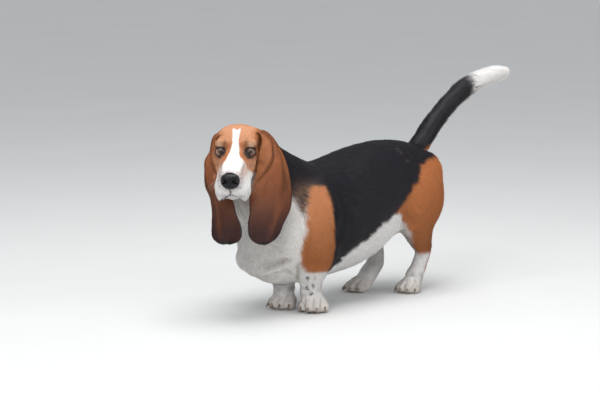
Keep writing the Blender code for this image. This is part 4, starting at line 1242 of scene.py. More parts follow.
def head_tone(points, hues):
    """Colour of the head, in the head's frame, and the share of dark hairs in it."""
    head = in_head(points)
    head = head + 0.0012 * clouds(head, 0.006, (31, 32, 33))
    x, y, z = head.T
    out = np.abs(x)
    tone = np.tile(hues["rust"] * 1.12, (len(points), 1))
    # forehead pale in the middle, deeper on the cheeks and at the back of the skull
    pale = ramp(z, 0.004, 0.034) * (1 - ramp(out, 0.030, 0.052)) * (1 - ramp(y, 0.045, 0.085))
    tone = blend(tone, hues["fawn"], 0.85 * pale)
    tone = blend(tone, hues["tan"] * 0.82, ramp(y, 0.04, 0.09) * ramp(z, 0.0, 0.03))
    # lighter cheek under the eye and ahead of the ear
    cheek = bump(out, 0.044, 0.020) * bump(z, -0.032, 0.026) * (1 - ramp(y, -0.004, 0.022))
    tone = blend(tone, hues["fawn"] * (1.02, 1.02, 1.05), 0.90 * np.clip(1.3 * cheek, 0, 1))
    # blaze and muzzle
    level, left, right = np.array(BLAZE).T
    low = np.interp(z, level, left)
    high = np.interp(z, level, right)
    middle, half = (low + high) / 2, (high - low) / 2
    edge = half - np.abs(x - middle)
    white = ramp(edge, -0.0011, 0.0013)
    slope = y + 0.55 * np.clip(-0.010 - z, 0, 0.06)
    white *= np.where(z < -0.004, 1 - ramp(slope, -0.002, 0.006), 1.0)
    reach = 0.030 * ramp(-z, 0.036, 0.062)
    side_muzzle = (1 - ramp(y - reach, -0.072, -0.058)) * (1 - ramp(z, -0.020, -0.010))
    side_muzzle *= 1 - ramp(z, -0.046, -0.034) * ramp(x, 0.034, 0.038)
    white = np.maximum(white, side_muzzle)
    below = (1 - ramp(z, -0.080, -0.068)) * (1 - ramp(y, 0.010, 0.035))
    white = np.maximum(white, below)
    white *= 1 - ramp(y + 0.003 * cloud(points, 0.004, 34), 0.026, 0.031) * (z > 0)
    tone = blend(tone, hues["white"], white)
    # grey ticking round the nose and on the lips
    near_nose = np.linalg.norm((head - (0, -0.115, -0.034)) / (0.030, 0.022, 0.026), axis=1)
    tick = (1 - ramp(near_nose, 0.80, 1.20)) * 0.60
    lips = bump(z, -0.076, 0.011) * (1 - ramp(y, -0.060, -0.03)) * 0.50
    tick = np.maximum(tick, lips) * white
    speck = ramp(cloud(points, 0.0038, 41), -0.05, 0.55)
    tone = blend(tone, hues["grey"] * (1.5, 1.5, 1.6), np.clip(tick * (0.35 + 0.75 * speck), 0, 0.9))
    dark = 0.16 * tick
    # shade on the muzzle's side and the pinkish grey under the eyes
    under = bump(out, 0.030, 0.011) * bump(z, -0.021, 0.010) * (1 - ramp(y, -0.004, 0.010))
    tone = blend(tone, hues["fawn"] * (0.62, 0.60, 0.66), 0.62 * np.clip(under * 1.3, 0, 1))
    tear = bump(out, 0.0235 + 0.04 * np.clip(-0.010 - z, 0, 0.02), 0.0028) * bump(z, -0.017, 0.008)
    tone = blend(tone, hues["lips"] * 8 + 0.02, 0.45 * tear * (y < 0))
    # eyes: dark rims and inner corners, painted shade round each eye, pale spot on the brow with a
    # dark mark beside it
    for side in (1, -1):
        local = moved(points, lid_frame(side).inverted())
        measure = np.hypot(local[:, 0] / OPENING_HALF, local[:, 2] / OPENING_HALF_HEIGHT)
        front = local[:, 1] < 0.004
        rim = (1 - ramp(measure, 1.22, 1.50)) * front
        eye_shade = (1 - ramp(measure, 1.35, 2.15)) * front
        corner = lump((local[:, 0] * side, local[:, 2]), (-0.0140, -0.0015), 0.0030) * front
        tone = blend(tone, hues["rust"] * (0.34, 0.40, 0.55), 0.38 * eye_shade)
        pale = lump((x * side, z), (0.036, 0.0172), (0.0090, 0.0050)) * (y < 0.02)
        tone = blend(tone, hues["fawn"] * (1.25, 1.65, 2.1), 0.85 * pale)
        tone = blend(tone, hues["lips"], np.clip(rim + 0.7 * corner, 0, 1))
        mark = lump((x * side, z), (0.0235, 0.0185), (0.0036, 0.0075)) * (y < 0.02)
        tone = blend(tone, hues["rust"] * 0.30, 0.62 * mark)
    # lip line, and the dark band under the upper lips: black lip, with painted shade under the flews
    line = smooth_rows(np.array(LIP_LINE)[:, :3], LINE_STEPS)
    lip = np.minimum(*(line_distance(head, line * (side, 1, 1))[0] for side in (1, -1)))
    tone = blend(tone, hues["lips"], 1 - ramp(lip, 0.0022, 0.0046))
    under = np.interp(out, *JAW_EDGE) - z
    mouth = ramp(under, -0.0020, -0.0002) * (1 - ramp(under, 0.0050, 0.0085))
    mouth *= (1 - ramp(out, 0.018, 0.026)) * (y < -0.07)
    tone = blend(tone, hues["lips"], mouth)
    groove = (1 - ramp(out, 0.0008, 0.0022)) * bump(z, -0.060, 0.0085) * (y < -0.10)
    tone = blend(tone, hues["lips"], 0.9 * groove)
    hollow = (1 - ramp(near_nose, 0.62, 0.80)) * (y < -0.10)
    tone = blend(tone, hues["nose"], hollow)
    dark *= ramp(lip, 0.003, 0.006)
    return tone, dark


def ear_tone(points, place, hues):
    """Colour of the ears from the place across and down the leather."""
    u, v, outer = place.T
    patchy = cloud(points, 0.022, 51) * 0.5 + cloud(points, 0.007, 52) * 0.3
    tone = np.tile(hues["chestnut"], (len(points), 1))
    low = ramp(v + 0.09 * patchy, 0.36, 0.84)
    tone = blend(tone, hues["umber"], low)
    # painted light: the folded front edge of the upper ear is paler
    front = (1 - ramp(u, 0.14, 0.30)) * (1 - ramp(v, 0.36, 0.56))
    tone = blend(tone, hues["tan"] * (0.72, 0.68, 0.62), 0.60 * front)
    # painted highlight: the upper back of the ear is lighter
    back = ramp(u, 0.55, 0.85) * (1 - ramp(v, 0.35, 0.60))
    tone = blend(tone, hues["chestnut"] * (1.45, 1.55, 1.40), 0.75 * back)
    streak = bump(u + 0.03 * patchy, 0.66, 0.09) * bump(v, 0.66, 0.15)
    tone = blend(tone, hues["chestnut"] * (1.15, 1.20, 1.20), 0.55 * streak)
    rim = ramp(np.abs(u - 0.5), 0.46, 0.50) * ramp(v, 0.45, 0.75)
    rim = np.maximum(ramp(v + 0.03 * patchy, 0.895, 0.975), rim)
    tone = blend(tone, hues["lips"] * 1.2, 0.92 * rim)
    # painted shade in the valley behind the folded front edge
    valley = np.maximum(0.0, EAR_VALLEY * (1 - np.maximum(0.0, v - 0.21) / 0.33)) + 0.03
    crease = bump(u, valley, 0.035) * bump(v, 0.28, 0.20)
    tone = tone * (1 - 0.50 * crease)[:, None]
    patch = bump(u, 0.80, 0.10) * bump(v, 0.47, 0.07)
    tone = tone * (1 - 0.55 * patch)[:, None]
    tone = tone * (1 + 0.48 * patchy)[:, None]
    pink = hues["fawn"] * 0.55 + hues["haw"] * 0.15
    tone = blend(tone, pink, np.where(outer < 0, 0.35 * (1 - low), 0.0))
    return tone, 0.10 * low


def tail_tone(points, normals, hues):
    _, y, z = (points + 0.004 * cloud(points, 0.012, 61)[:, None]).T
    tone = np.tile(hues["black"], (len(points), 1))
    brown = ramp(y, 0.33, 0.42) * ramp(-normals[:, 2], 0.05, 0.75)
    tone = blend(tone, hues["rust"] * (0.30, 0.45, 0.62), 0.75 * brown)
    base = (1 - ramp(y, 0.255, 0.285)) * (1 - ramp(z, 0.325, 0.345))
    tone = blend(tone, hues["rust"], 0.85 * base)
    fringe = (1 - ramp(y, 0.26, 0.36)) * ramp(-normals[:, 2] + 0.6 * normals[:, 1], 0.35, 0.8)
    tone = blend(tone, hues["rust"] * 0.5, 0.45 * fringe)
    tip = ramp(y, 0.384, 0.404)
    tone = blend(tone, hues["white"], tip)
    dark = 0.5 * bump(y, 0.396, 0.014) + 0.30 * brown * (1 - tip)
    return tone, np.clip(dark, 0, 1)


def markings(points, normals, part, place):
    """Linear colour of the coat at each point, and the share of dark hairs mixed into it."""
    hues = tones()
    tone, dark = body_tone(points, normals, hues)
    chosen = part == HEAD_PART
    if chosen.any():
        tone[chosen], dark[chosen] = head_tone(points[chosen], hues)
    chosen = part == TAIL
    if chosen.any():
        tone[chosen], dark[chosen] = tail_tone(points[chosen], normals[chosen], hues)
    # the root of each ear takes up the colour of the head round it
    ears = (part == EAR_LEFT) | (part == EAR_RIGHT)
    if ears.any():
        tone_ear, dark_ear = ear_tone(points[ears], place[ears], hues)
        tone_head, _ = head_tone(points[ears], hues)
        root = 1 - ramp(place[ears][:, 1], 0.03, 0.17)
        root *= ramp(np.abs(in_head(points[ears])[:, 0]), 0.0, 0.02)
        tone[ears] = blend(tone_ear, blend(tone_head, hues["tan"] * 0.8, 0.4), root)
        dark[ears] = dark_ear
    return np.clip(tone, 0.002, 0.9), np.clip(dark, 0, 1)


# Which way the hair lies: a point, a direction and a reach. The first set is on both sides.

LIE = (
    ((0.02, -0.200, 0.340), (0.0, 1, -0.10), 0.10), ((0.02, 0.050, 0.360), (0.0, 1, 0.0), 0.14),
    ((0.03, 0.190, 0.365), (0.1, 1, -0.15), 0.09), ((0.12, -0.050, 0.220), (0.0, 1, -0.35), 0.11),
    ((0.12, 0.080, 0.240), (0.0, 1, -0.45), 0.11), ((0.10, 0.020, 0.100), (0.0, 1, -0.20), 0.08),
    ((0.03, 0.000, 0.070), (0.0, 1, 0.0), 0.09), ((0.03, -0.150, 0.062), (0.0, 1, 0.0), 0.07),
    ((0.12, -0.215, 0.240), (0.0, 0.50, -1), 0.06), ((0.13, -0.200, 0.160), (0.0, 0.30, -1), 0.06),
    ((0.02, -0.345, 0.200), (0.2, 0.10, -1), 0.07), ((0.07, -0.320, 0.210), (0.4, 0.40, -1), 0.06),
    ((0.03, -0.310, 0.120), (0.1, 0.50, -1), 0.05),
    ((0.03, -0.310, 0.400), (0.2, 0.70, -0.6), 0.07),
    ((0.08, -0.310, 0.340), (0.1, 0.60, -0.8), 0.06),
    ((0.03, -0.370, 0.280), (0.2, 0.10, -1), 0.06),
    ((0.09, 0.220, 0.300), (0.1, 0.60, -1), 0.07), ((0.03, 0.285, 0.250), (0.1, 0.10, -1), 0.06),
    ((0.12, 0.150, 0.200), (0.0, 0.30, -1), 0.07), ((0.10, 0.210, 0.120), (0.0, 0.30, -1), 0.06),
    ((0.08, 0.150, 0.060), (0.0, -0.20, -1), 0.05), ((0.09, -0.210, 0.100), (0.0, 0.0, -1), 0.05),
    ((0.05, -0.215, 0.060), (0.0, -0.1, -1), 0.04), ((0.04, 0.120, 0.120), (0.0, 0.40, -1), 0.06),
)
LIE_SINGLE = (
    ((0.072, -0.240, 0.030), (0.45, -1, -0.5), 0.028),
    ((-0.016, -0.252, 0.030), (0.15, -1, -0.5), 0.028),
    ((0.060, 0.115, 0.026), (0.2, -1, -0.5), 0.026),
    ((-0.045, 0.045, 0.026), (-0.1, -1, -0.5), 0.026),
    ((0.000, 0.235, 0.335), (0.0, 0.6, 0.8), 0.035),
    ((0.004, 0.285, 0.395), (0.05, 0.65, 0.75), 0.05),
    ((0.010, 0.380, 0.455), (0.1, 0.90, 0.45), 0.05), ((0.020, 0.460, 0.500), (0.1, 1, 0.12), 0.05),
    ((0.030, 0.540, 0.512), (0.05, 1, 0.03), 0.05),
)
LIE_HEAD = (
    # in the head's frame, on both sides
    ((0.006, -0.112, -0.018), (0.2, 1, 0.50), 0.014),
    ((0.008, -0.075, -0.002), (0.1, 1, 0.10), 0.026),
    ((0.036, -0.075, -0.045), (0.1, 1, -0.55), 0.026),
    ((0.030, -0.060, -0.082), (0.1, 0.7, -1), 0.022),
    ((0.024, -0.112, -0.050), (0.9, 0.5, -0.5), 0.016),
    ((0.010, -0.118, -0.066), (0.5, 0.2, -1), 0.014),
    ((0.005, -0.020, 0.014), (0.1, 0.8, 1), 0.020), ((0.012, 0.010, 0.040), (0.2, 1, 0.5), 0.030),
    ((0.010, 0.060, 0.050), (0.1, 1, -0.10), 0.050), ((0.034, -0.010, 0.019), (0.5, 0.3, 1), 0.012),
    ((0.046, 0.004, 0.012), (0.3, 1, 0.2), 0.016),
    ((0.020, -0.022, -0.008), (-0.1, -0.2, -1), 0.010),
    ((0.034, -0.018, -0.020), (0.3, 0.5, -1), 0.014),
    ((0.048, 0.010, -0.024), (0.1, 1, -0.7), 0.025),
    ((0.042, 0.000, -0.052), (0.0, 0.6, -1), 0.020), ((0.050, 0.050, 0.010), (0.1, 1, -0.5), 0.035),
    ((0.010, -0.060, -0.096), (0.0, 1, -0.1), 0.030), ((0.02, 0.100, 0.020), (0.0, 0.5, -1), 0.040),
)


def lie_anchors():
    turn = np.array(HEAD_IN_MODEL)[:3, :3]
    anchors = []
    for side in (1, -1):
        mirror = np.array((side, 1, 1))
        for spot, way, reach in LIE:
            anchors.append((spot * mirror, way * mirror, reach))
        for spot, way, reach in LIE_HEAD:
            anchors.append((moved(spot * mirror, HEAD_IN_MODEL), turn @ (way * mirror), reach))
    spots, ways, reaches = zip(*anchors, *LIE_SINGLE)
    return np.array(spots), unit(np.array(ways, float)), reaches


def hair_lie(points, normals):
    """Unit directions along the skin in which the hair lies."""
    total = np.tile((0.0, 0.004, -0.002), (len(points), 1))
    for spot, way, reach in zip(*lie_anchors()):
        distance = np.linalg.norm(points - spot, axis=1)
        total += (np.exp(-((distance / reach) ** 2)) / reach**1.2)[:, None] * 0.001 * way
    total += 0.0004 * clouds(points, 0.03, (71, 72, 73))
    return along_surface(total, normals)


def describe(skin):
    """Stores on the skin which part each point is of, its place on the ear, the lie and length of its
    hair, and its colour."""
    points, normals = read_points(skin.data), read_normals(skin.data)
    which, place, way = ear_map(points, normals)
    head = in_head(points)
    ahead = ahead_of_neck(points, TO_MODEL) > 0
    ragged = 0.004 * cloud(points, 0.012, 81)
    skull = (head[:, 2] > -0.045 - 0.35 * np.clip(head[:, 1], 0, 1)) & (head[:, 1] < 0.104 + ragged)
    skull |= head[:, 1] < 0.012
    part = np.full(len(points), BODY)
    part[ahead & skull & (head[:, 2] > -0.105)] = HEAD_PART
    part[(points[:, 1] > 0.222) & (points[:, 2] > 0.352)] = TAIL
    beside = (points[:, 1] > 0.06) | (np.abs(points[:, 0]) > 0.035) | (points[:, 2] < 0.05)
    part[(points[:, 2] < 0.105) & beside] = LEG
    part[which > 0] = EAR_LEFT
    part[which < 0] = EAR_RIGHT
    lie = hair_lie(points, normals)
    ears = which != 0
    lie[ears] = along_surface(way[ears], normals[ears])
    size = sizes()
    hair = np.full(len(points), size.hair_body)
    hair = np.where(part == LEG, size.hair_leg, hair)
    hair = np.where(points[:, 2] < 0.045, size.hair_leg * 0.62, hair)
    hair = np.where(part == TAIL, size.hair_tail * ramp(points[:, 1], 0.10, 0.36), hair)
    hair = np.where((part == HEAD_PART) | ears, size.hair_face, hair)
    muzzle = (part == HEAD_PART) & (head[:, 1] < -0.02)
    hair = np.where(muzzle, size.hair_face * 0.70, hair)
    hair = hair * (1 - 0.60 * ramp(points[:, 1], 0.485, 0.525))
    rear = ramp(points[:, 1], 0.20, 0.25) * (points[:, 2] > 0.10) * (part == BODY)
    hair = hair * (1 + 0.35 * rear)
    tone, dark = markings(points, normals, part, place)
    shown = blend(tone, tones()["black"] * 2, dark * 0.7)
    mesh = skin.data
    paint(mesh, "tone", shown * 0.90)
    give_attribute(mesh, "part", "INT", part.astype(np.int32))
    give_attribute(mesh, "place", "FLOAT_VECTOR", place.astype(np.float32))
    give_attribute(mesh, "lie", "FLOAT_VECTOR", lie.astype(np.float32))
    give_attribute(mesh, "hair", "FLOAT", hair.astype(np.float32))


# Materials

class Nodes:
    """Short calls for building one material."""

    def __init__(self, name):
        self.material = bpy.data.materials.new(name)
        self.material.use_nodes = True
        self.tree = self.material.node_tree
        self.surface = self.tree.nodes["Principled BSDF"]

    def node(self, kind, **settings):
        made = self.tree.nodes.new(kind)
        for key, value in settings.items():
            if key in made.inputs:
                made.inputs[key].default_value = value
            else:
                setattr(made, key, value)
        return made

    def link(self, start, end):
        self.tree.links.new(start, end)

    def set(self, **values):
        for name, value in values.items():
            self.surface.inputs[name.replace("_", " ")].default_value = value

    def tone(self):
        return self.node("ShaderNodeAttribute", attribute_name="tone").outputs["Color"]

    def noise(self, scale, detail=3.0):
        place = self.node("ShaderNodeTexCoord").outputs["Object"]
        made = self.node("ShaderNodeTexNoise", Scale=scale, Detail=detail)
        self.link(place, made.inputs["Vector"])
        return made.outputs["Fac"]

    def mapped(self, value, low, high, start=0.0, end=1.0):
        made = self.node("ShaderNodeMapRange")
        sockets = ("From Min", "From Max", "To Min", "To Max")
        for socket, number in zip(sockets, (start, end, low, high)):
            made.inputs[socket].default_value = number
        self.link(value, made.inputs["Value"])
        return made.outputs["Result"]

    def bump(self, height, distance, strength):
        made = self.node("ShaderNodeBump", Distance=distance, Strength=strength)
        self.link(height, made.inputs["Height"])
        self.link(made.outputs["Normal"], self.surface.inputs["Normal"])

    def shaded(self, base, share):
        """The base colour times a value."""
        made = self.node("ShaderNodeMix", data_type="RGBA", blend_type="MULTIPLY")
        made.inputs[0].default_value = 1.0
        self.link(base, made.inputs[6])
        self.link(share, made.inputs[7])
        return made.outputs[2]

    def colour(self, base, streak, low, high, start=0.3, end=0.7):
        """Colours the surface, darker and lighter along a noise."""
        shade = self.shaded(base, self.mapped(streak, low, high, start, end))
        self.link(shade, self.surface.inputs["Base Color"])

    def roughness(self, *mapping):
        self.link(self.mapped(*mapping), self.surface.inputs["Roughness"])


def hair_material():
    made = Nodes("coat_hair")
    tone = made.tone()
    made.colour(tone, made.noise(900.0, 2.0), 0.80, 1.16)
    made.roughness(tone, 0.42, 0.74, 0.01, 0.30)
    made.set(Specular_IOR_Level=0.26, Sheen_Weight=0.02, Sheen_Roughness=0.4)
    return made.material


def skin_material():
    made = Nodes("short_coat")
    tone = made.tone()
    made.colour(tone, made.noise(520.0, 4.0), 0.78, 1.14)
    made.roughness(tone, 0.50, 0.80, 0.01, 0.30)
    made.bump(made.noise(1300.0), 0.0004, 0.7)
    made.set(Specular_IOR_Level=0.20)
    return made.material


def plain_material(name, roughness, specular=0.5, coat=0.0, grain=0.0, depth=0.0):
    """A material painted by the piece's own tone, with an optional fine grain."""
    made = Nodes(name)
    tone = made.tone()
    if grain:
        made.colour(tone, made.noise(grain), 0.75, 1.2)
        made.bump(made.noise(grain), depth, 0.6)
    else:
        made.link(tone, made.surface.inputs["Base Color"])
    made.set(Roughness=roughness, Specular_IOR_Level=specular, Coat_Weight=coat, Coat_Roughness=0.03)
    return made.material


def nose_material():
    """Wet black leather with small rounded pebbles."""
    made = Nodes("nose_leather")
    place = made.node("ShaderNodeTexCoord").outputs["Object"]
    cells = made.node("ShaderNodeTexVoronoi", Scale=900.0, feature="SMOOTH_F1", Smoothness=0.7)
    made.link(place, cells.inputs["Vector"])
    made.colour(made.tone(), made.noise(300.0), 0.7, 1.5)
    made.roughness(made.noise(160.0), 0.16, 0.30)
    made.bump(made.mapped(cells.outputs["Distance"], 1.0, 0.0), 0.00045, 0.6)
    made.set(Specular_IOR_Level=0.26)
    return made.material


# Coat

# Half the size of the patch that each blade has on the unwrapped tube
UV_PATCH = 0.0015
# A blade's widest place, as a share of its length, and how far it arches there
BLADE_WAIST = 0.38
BLADE_ARCH = 0.035
# Each tube that the coat is unwrapped on: a point of its axis, the axis, the way its seam faces, and
# how long it is
BODY_TUBE = ((0.0, -0.36, 0.215), (0, 1, 0), (0, 0, -1), 0.70)
NECK_TUBE = ((0.0, -0.14, 0.16), (0.0, -0.62, 0.78), (0, 1, 0.8), 0.45)
TAIL_TUBE = ((0.0, 0.20, 0.34), (0.06, 0.88, 0.45), (0, -0.45, 0.88), 0.42)
LEG_TUBES = tuple(
    ((x, y, 0.0), (0, 0, 1), (0, 1, 0), 0.32)
    for x, y in ((0.072, -0.200), (-0.040, -0.210), (0.070, 0.150), (-0.060, 0.125))
)


def tube_place(points, tubes):
    """Each point's place on the unwrapped tube that is nearest to it, with the tubes side by side."""
    count = len(tubes)
    axes = np.array([tube[0] for tube in tubes])
    nearest = np.argmin(np.linalg.norm(points[:, None, :2] - axes[None, :, :2], axis=2), axis=1)
    uv = np.zeros((len(points), 2))
    for k, (start, axis, seam, reach) in enumerate(tubes):
        mine = nearest == k
        way = np.array(Vector(axis).normalized())
        back = along_surface(np.array([seam], float), way[None])[0]
        side = np.cross(way, back)
        away = points[mine] - np.array(start)
        turn = np.arctan2(away @ side, -(away @ back)) / (2 * pi) + 0.5
        along = np.clip((away @ way) / reach, 0, 1)
        uv[mine] = np.column_stack([(k + 0.02 + 0.96 * turn) / count, 0.02 + 0.96 * along])
    return uv


def head_place(points):
    """The same for the head, unwrapped round an axis from the nose to the neck."""
    head = in_head(points)
    turn = np.arctan2(head[:, 0], head[:, 2] + 0.040) / (2 * pi) + 0.5
    lift = np.hypot(head[:, 0], head[:, 2] + 0.040)
    along = np.clip((head[:, 1] + 0.135 - 0.35 * (0.06 - lift)) / 0.30, 0, 1)
    return np.column_stack([0.02 + 0.96 * turn, 0.02 + 0.96 * along])


def ear_place(place, left):
    u = (place[:, 0] * 0.92 + 0.04) / 4
    column = np.where(left, 0, 2) + np.where(place[:, 2] > 0, 0, 1)
    return np.column_stack([u + column / 4, 0.02 + 0.96 * place[:, 1]])


def hair_blades(name, roots, normals, lie, tone, hair, width, lift, uv, rng):
    """One piece of coat: a kite-shaped blade at each root, that lies along the hair."""
    count = len(roots)
    swing = rng.normal(0, 0.17, count)[:, None]
    across = np.cross(lie, normals)
    lie = lie * np.cos(swing) + across * np.sin(swing)
    across = np.cross(lie, normals)
    rise = (lift * rng.uniform(0.5, 1.5, count))[:, None]
    long = (hair * rng.uniform(0.75, 1.2, count))[:, None]
    wide = (width * rng.uniform(0.7, 1.2, count))[:, None] / 2
    foot = roots - normals * 0.0003
    waist = foot + lie * long * BLADE_WAIST
    waist += normals * long * (BLADE_WAIST * np.sin(rise) + BLADE_ARCH)
    tip = foot + lie * long * np.cos(rise) + normals * long * np.sin(rise)
    points = np.stack([foot, waist + across * wide, tip, waist - across * wide], axis=1)
    points = points.reshape(-1, 3)
    points[:, 2] = np.maximum(points[:, 2], 0.0003)
    mesh = bpy.data.meshes.new(name)
    mesh.vertices.add(count * 4)
    mesh.loops.add(count * 4)
    mesh.polygons.add(count)
    mesh.vertices.foreach_set("co", points.astype(np.float32).ravel())
    mesh.loops.foreach_set("vertex_index", np.arange(count * 4, dtype=np.int32))
    mesh.polygons.foreach_set("loop_start", np.arange(count, dtype=np.int32) * 4)
    mesh.update(calc_edges=True)
    mesh.polygons.foreach_set("use_smooth", np.ones(count, bool))
    tilt = rng.normal(0, 0.10, (count, 1))
    face = unit(normals + across * tilt - lie * 0.10)
    bent = [unit(face - lie * 0.15), unit(face + across * 0.34), unit(face + lie * 0.12),
            unit(face - across * 0.34)]
    mesh.normals_split_custom_set_from_vertices(np.stack(bent, axis=1).reshape(-1, 3).tolist())
    strength = rng.normal(1.0, 0.085, (count, 1))
    warm = rng.normal(0, 0.030, (count, 1)) * (1, 0, -1)
    own = np.clip(tone * strength * (1 + warm), 0.001, 1)
    # painted shade at each blade's root and painted light at its tip
    root_shade_tip_light = np.stack([own * 0.80, own, own * 1.10, own], axis=1).reshape(-1, 3)
    paint(mesh, "tone", np.clip(root_shade_tip_light, 0, 1))
    corner = np.array(((0, -1), (1, 0), (0, 1), (-1, 0))) * UV_PATCH
    layer = mesh.uv_layers.new(name="OFBake")
    flat = (uv[:, None, :] + corner[None]).reshape(-1, 2).astype(np.float32)
    layer.data.foreach_set("uv", np.clip(flat, 0, 1).ravel())
    return placed(name, mesh)


# Each piece of coat: its name, the parts of the skin it grows on, how broad and how raised its hair
# is, how much denser than the set cover it is, and the tubes it is unwrapped on. The head and the
# ears have an unwrapping of their own.
COAT = (
    ("coat_flank_left", (BODY,), 0.0011, 0.15, 1.0, (BODY_TUBE,)),
    ("coat_flank_right", (BODY,), 0.0011, 0.15, 1.0, (BODY_TUBE,)),
    ("coat_chest", (BODY,), 0.0011, 0.17, 1.1, (BODY_TUBE,)),
    ("coat_neck", (BODY,), 0.0011, 0.17, 1.1, (NECK_TUBE,)),
    ("coat_head", (HEAD_PART,), 0.00062, 0.15, 1.0, None),
    ("coat_ears", (EAR_LEFT, EAR_RIGHT), 0.00070, 0.13, 0.9, None),
    ("coat_legs", (LEG,), 0.0009, 0.18, 1.0, LEG_TUBES),
    ("coat_tail", (TAIL,), 0.0011, 0.24, 1.8, (TAIL_TUBE,)),
)
# The most blades of a piece, as its density is set, and what its random count may not go over
MOST_BLADES = 98000
BLADE_LIMIT = 99500


def body_region(points, name):
    """Which points of the body belong to this piece of coat."""
    neck = (points[:, 1] < -0.235) & (points[:, 2] > 0.255)
    chest = ((points[:, 1] < -0.235) | (points[:, 2] < 0.105)) & ~neck
    side = points[:, 0] >= 0
    return {
        "coat_flank_left": ~neck & ~chest & side,
        "coat_flank_right": ~neck & ~chest & ~side,
        "coat_chest": chest,
        "coat_neck": neck,
    }.get(name, np.ones(len(points), bool))


def grow_coat(skin):
    mesh = skin.data
    points, normals = read_points(mesh), read_normals(mesh)
    part = take_attribute(mesh, "part", kind=np.int32)
    place = take_attribute(mesh, "place", 3).astype(float)
    lie = take_attribute(mesh, "lie", 3).astype(float)
    hair = take_attribute(mesh, "hair").astype(float)
    mesh.calc_loop_triangles()
    triangles = read(mesh.loop_triangles, "vertices", 3, np.int32)
    corners = points[triangles]
    middle = corners.mean(axis=1)
    edges = corners[:, 1:] - corners[:, :1]
    area = np.linalg.norm(np.cross(edges[:, 0], edges[:, 1]), axis=1) / 2
    size = hair[triangles].mean(axis=1)
    head = in_head(middle)
    # no hair grows in the eyes' openings, under the nose leather and on the soles
    bare = middle[:, 2] < 0.0016
    for side in (1, -1):
        local = moved(middle, lid_frame(side).inverted())
        bare |= (np.hypot(local[:, 0], local[:, 2] * 1.15) < 0.0128) & (local[:, 1] < 0.003)
        bare |= np.linalg.norm(local, axis=1) < EYE_RADIUS + 0.0006
    pad = np.hypot(head[:, 0] / 0.0225, (head[:, 2] - NOSE_MIDDLE_Z) / 0.0195) < 1
    bare |= pad & (head[:, 1] < -0.100)
    kind = part[triangles[:, 0]]
    material = hair_material()
    made = []
    for number, (name, parts, width, lift, denser, tubes) in enumerate(COAT):
        rng = np.random.default_rng(100 + number)
        mine = np.isin(kind, parts) & body_region(middle, name) & ~bare
        broad = width * np.where((kind == LEG) & (middle[:, 2] < 0.05), 0.75, 1.0)
        density = sizes().cover * denser * 2 / (np.maximum(size, 0.002) * broad)
        expected = np.where(mine, area * density, 0.0)
        expected *= min(1.0, MOST_BLADES / max(expected.sum(), 1.0))
        counts = rng.poisson(expected)
        chosen = np.repeat(np.arange(len(triangles)), counts)[:BLADE_LIMIT]
        count = len(chosen)
        a = np.sqrt(rng.uniform(0, 1, count))
        b = rng.uniform(0, 1, count)
        weights = np.column_stack([1 - a, a * (1 - b), a * b])[:, :, None]
        picked = triangles[chosen]
        roots = (points[picked] * weights).sum(axis=1)
        facing = unit((normals[picked] * weights).sum(axis=1))
        way = along_surface((lie[picked] * weights).sum(axis=1), facing)
        on_ear = (place[picked] * weights).sum(axis=1)
        on_ear[:, 2] = np.sign(on_ear[:, 2])
        long = (hair[picked] * weights[:, :, 0]).sum(axis=1)
        kinds = kind[chosen]
        shifted = roots + way * rng.normal(0, 0.0012, (count, 1))
        tone, dark = markings(shifted, facing, kinds, on_ear)
        flecked = rng.uniform(0, 1, count) < dark
        tone[flecked] = tones()["black"] * 2.2
        if name == "coat_tail":
            long *= rng.uniform(0.8, 1.5, count)
            lift = lift * (0.7 + 0.8 * ramp(-facing[:, 2], 0.0, 0.8))
        if tubes:
            uv = tube_place(roots, tubes)
        elif name == "coat_head":
            uv = head_place(roots)
        else:
            uv = ear_place(on_ear, kinds == EAR_LEFT)
        thing = hair_blades(name, roots, facing, way, tone, long, broad[chosen], lift, uv, rng)
        thing.data.materials.append(material)
        made.append(thing)
    return made


# Small meshes

IRIS_RADIUS = 0.0084
PUPIL_RADIUS = 0.0042
# Claws: how far they start behind the toe's front, their length, and their half width and half depth
CLAW_INSET = 0.0075
CLAW_LENGTH = 0.0128
CLAW_HALF = (0.0031, 0.0033)
# Sections of a claw: how far along it, height of the middle, shares of the half width and half depth
CLAW_SECTIONS = (
    (0.00, 0.0140, 1.00, 1.15), (0.30, 0.0132, 0.95, 1.12), (0.58, 0.0108, 0.80, 0.98),
    (0.82, 0.0076, 0.55, 0.72), (0.96, 0.0050, 0.28, 0.36),
)
# Each nostril and the slit beside it: its middle in the head's frame, its radii and its turn
NOSTRILS = (
    ((0.0092, -0.1275, -0.0335), (0.0036, 0.0068, 0.0046), (0, 20, -15)),
    ((0.0152, -0.1245, -0.0385), (0.0062, 0.0065, 0.0016), (0, 28, 0)),
)
NOSE_GRID = 0.0007
# Rims of the lids: the share of the opening they follow, how far they stand off, and their radius
LID_RIM = (1.02, 0.0008, 0.0012)
HAW_RIM = (0.93, 0.0000, 0.0008)
# The share of the way round the opening at which the red rim of the lower lid starts
HAW_START = 0.46
WHISKER_RADIUS = 0.00011
CAMERA_AT = Vector((4.2527, -4.6993, 1.0919))
CAMERA_AIM = Vector((0.1749, -0.3720, 0.2880))
CAMERA_LENS = 159.72
FLOOR_RADIUS = 30.0
SURROUND = (0.93, 0.96, 1.0, 1.0)
SURROUND_STRENGTH = 0.72
LIGHTS = (
    # name, place, what it points at, size and power in watts
    ("overhead", (0.4, -0.5, 3.0), (0.0, -0.05, 0.2), 2.4, 78.0),
    ("front", (1.6, -3.6, 2.2), (0.1, -0.2, 0.25), 1.6, 48.0),
    ("side", (3.4, 0.6, 1.6), (0.0, 0.0, 0.2), 1.8, 26.0),
)


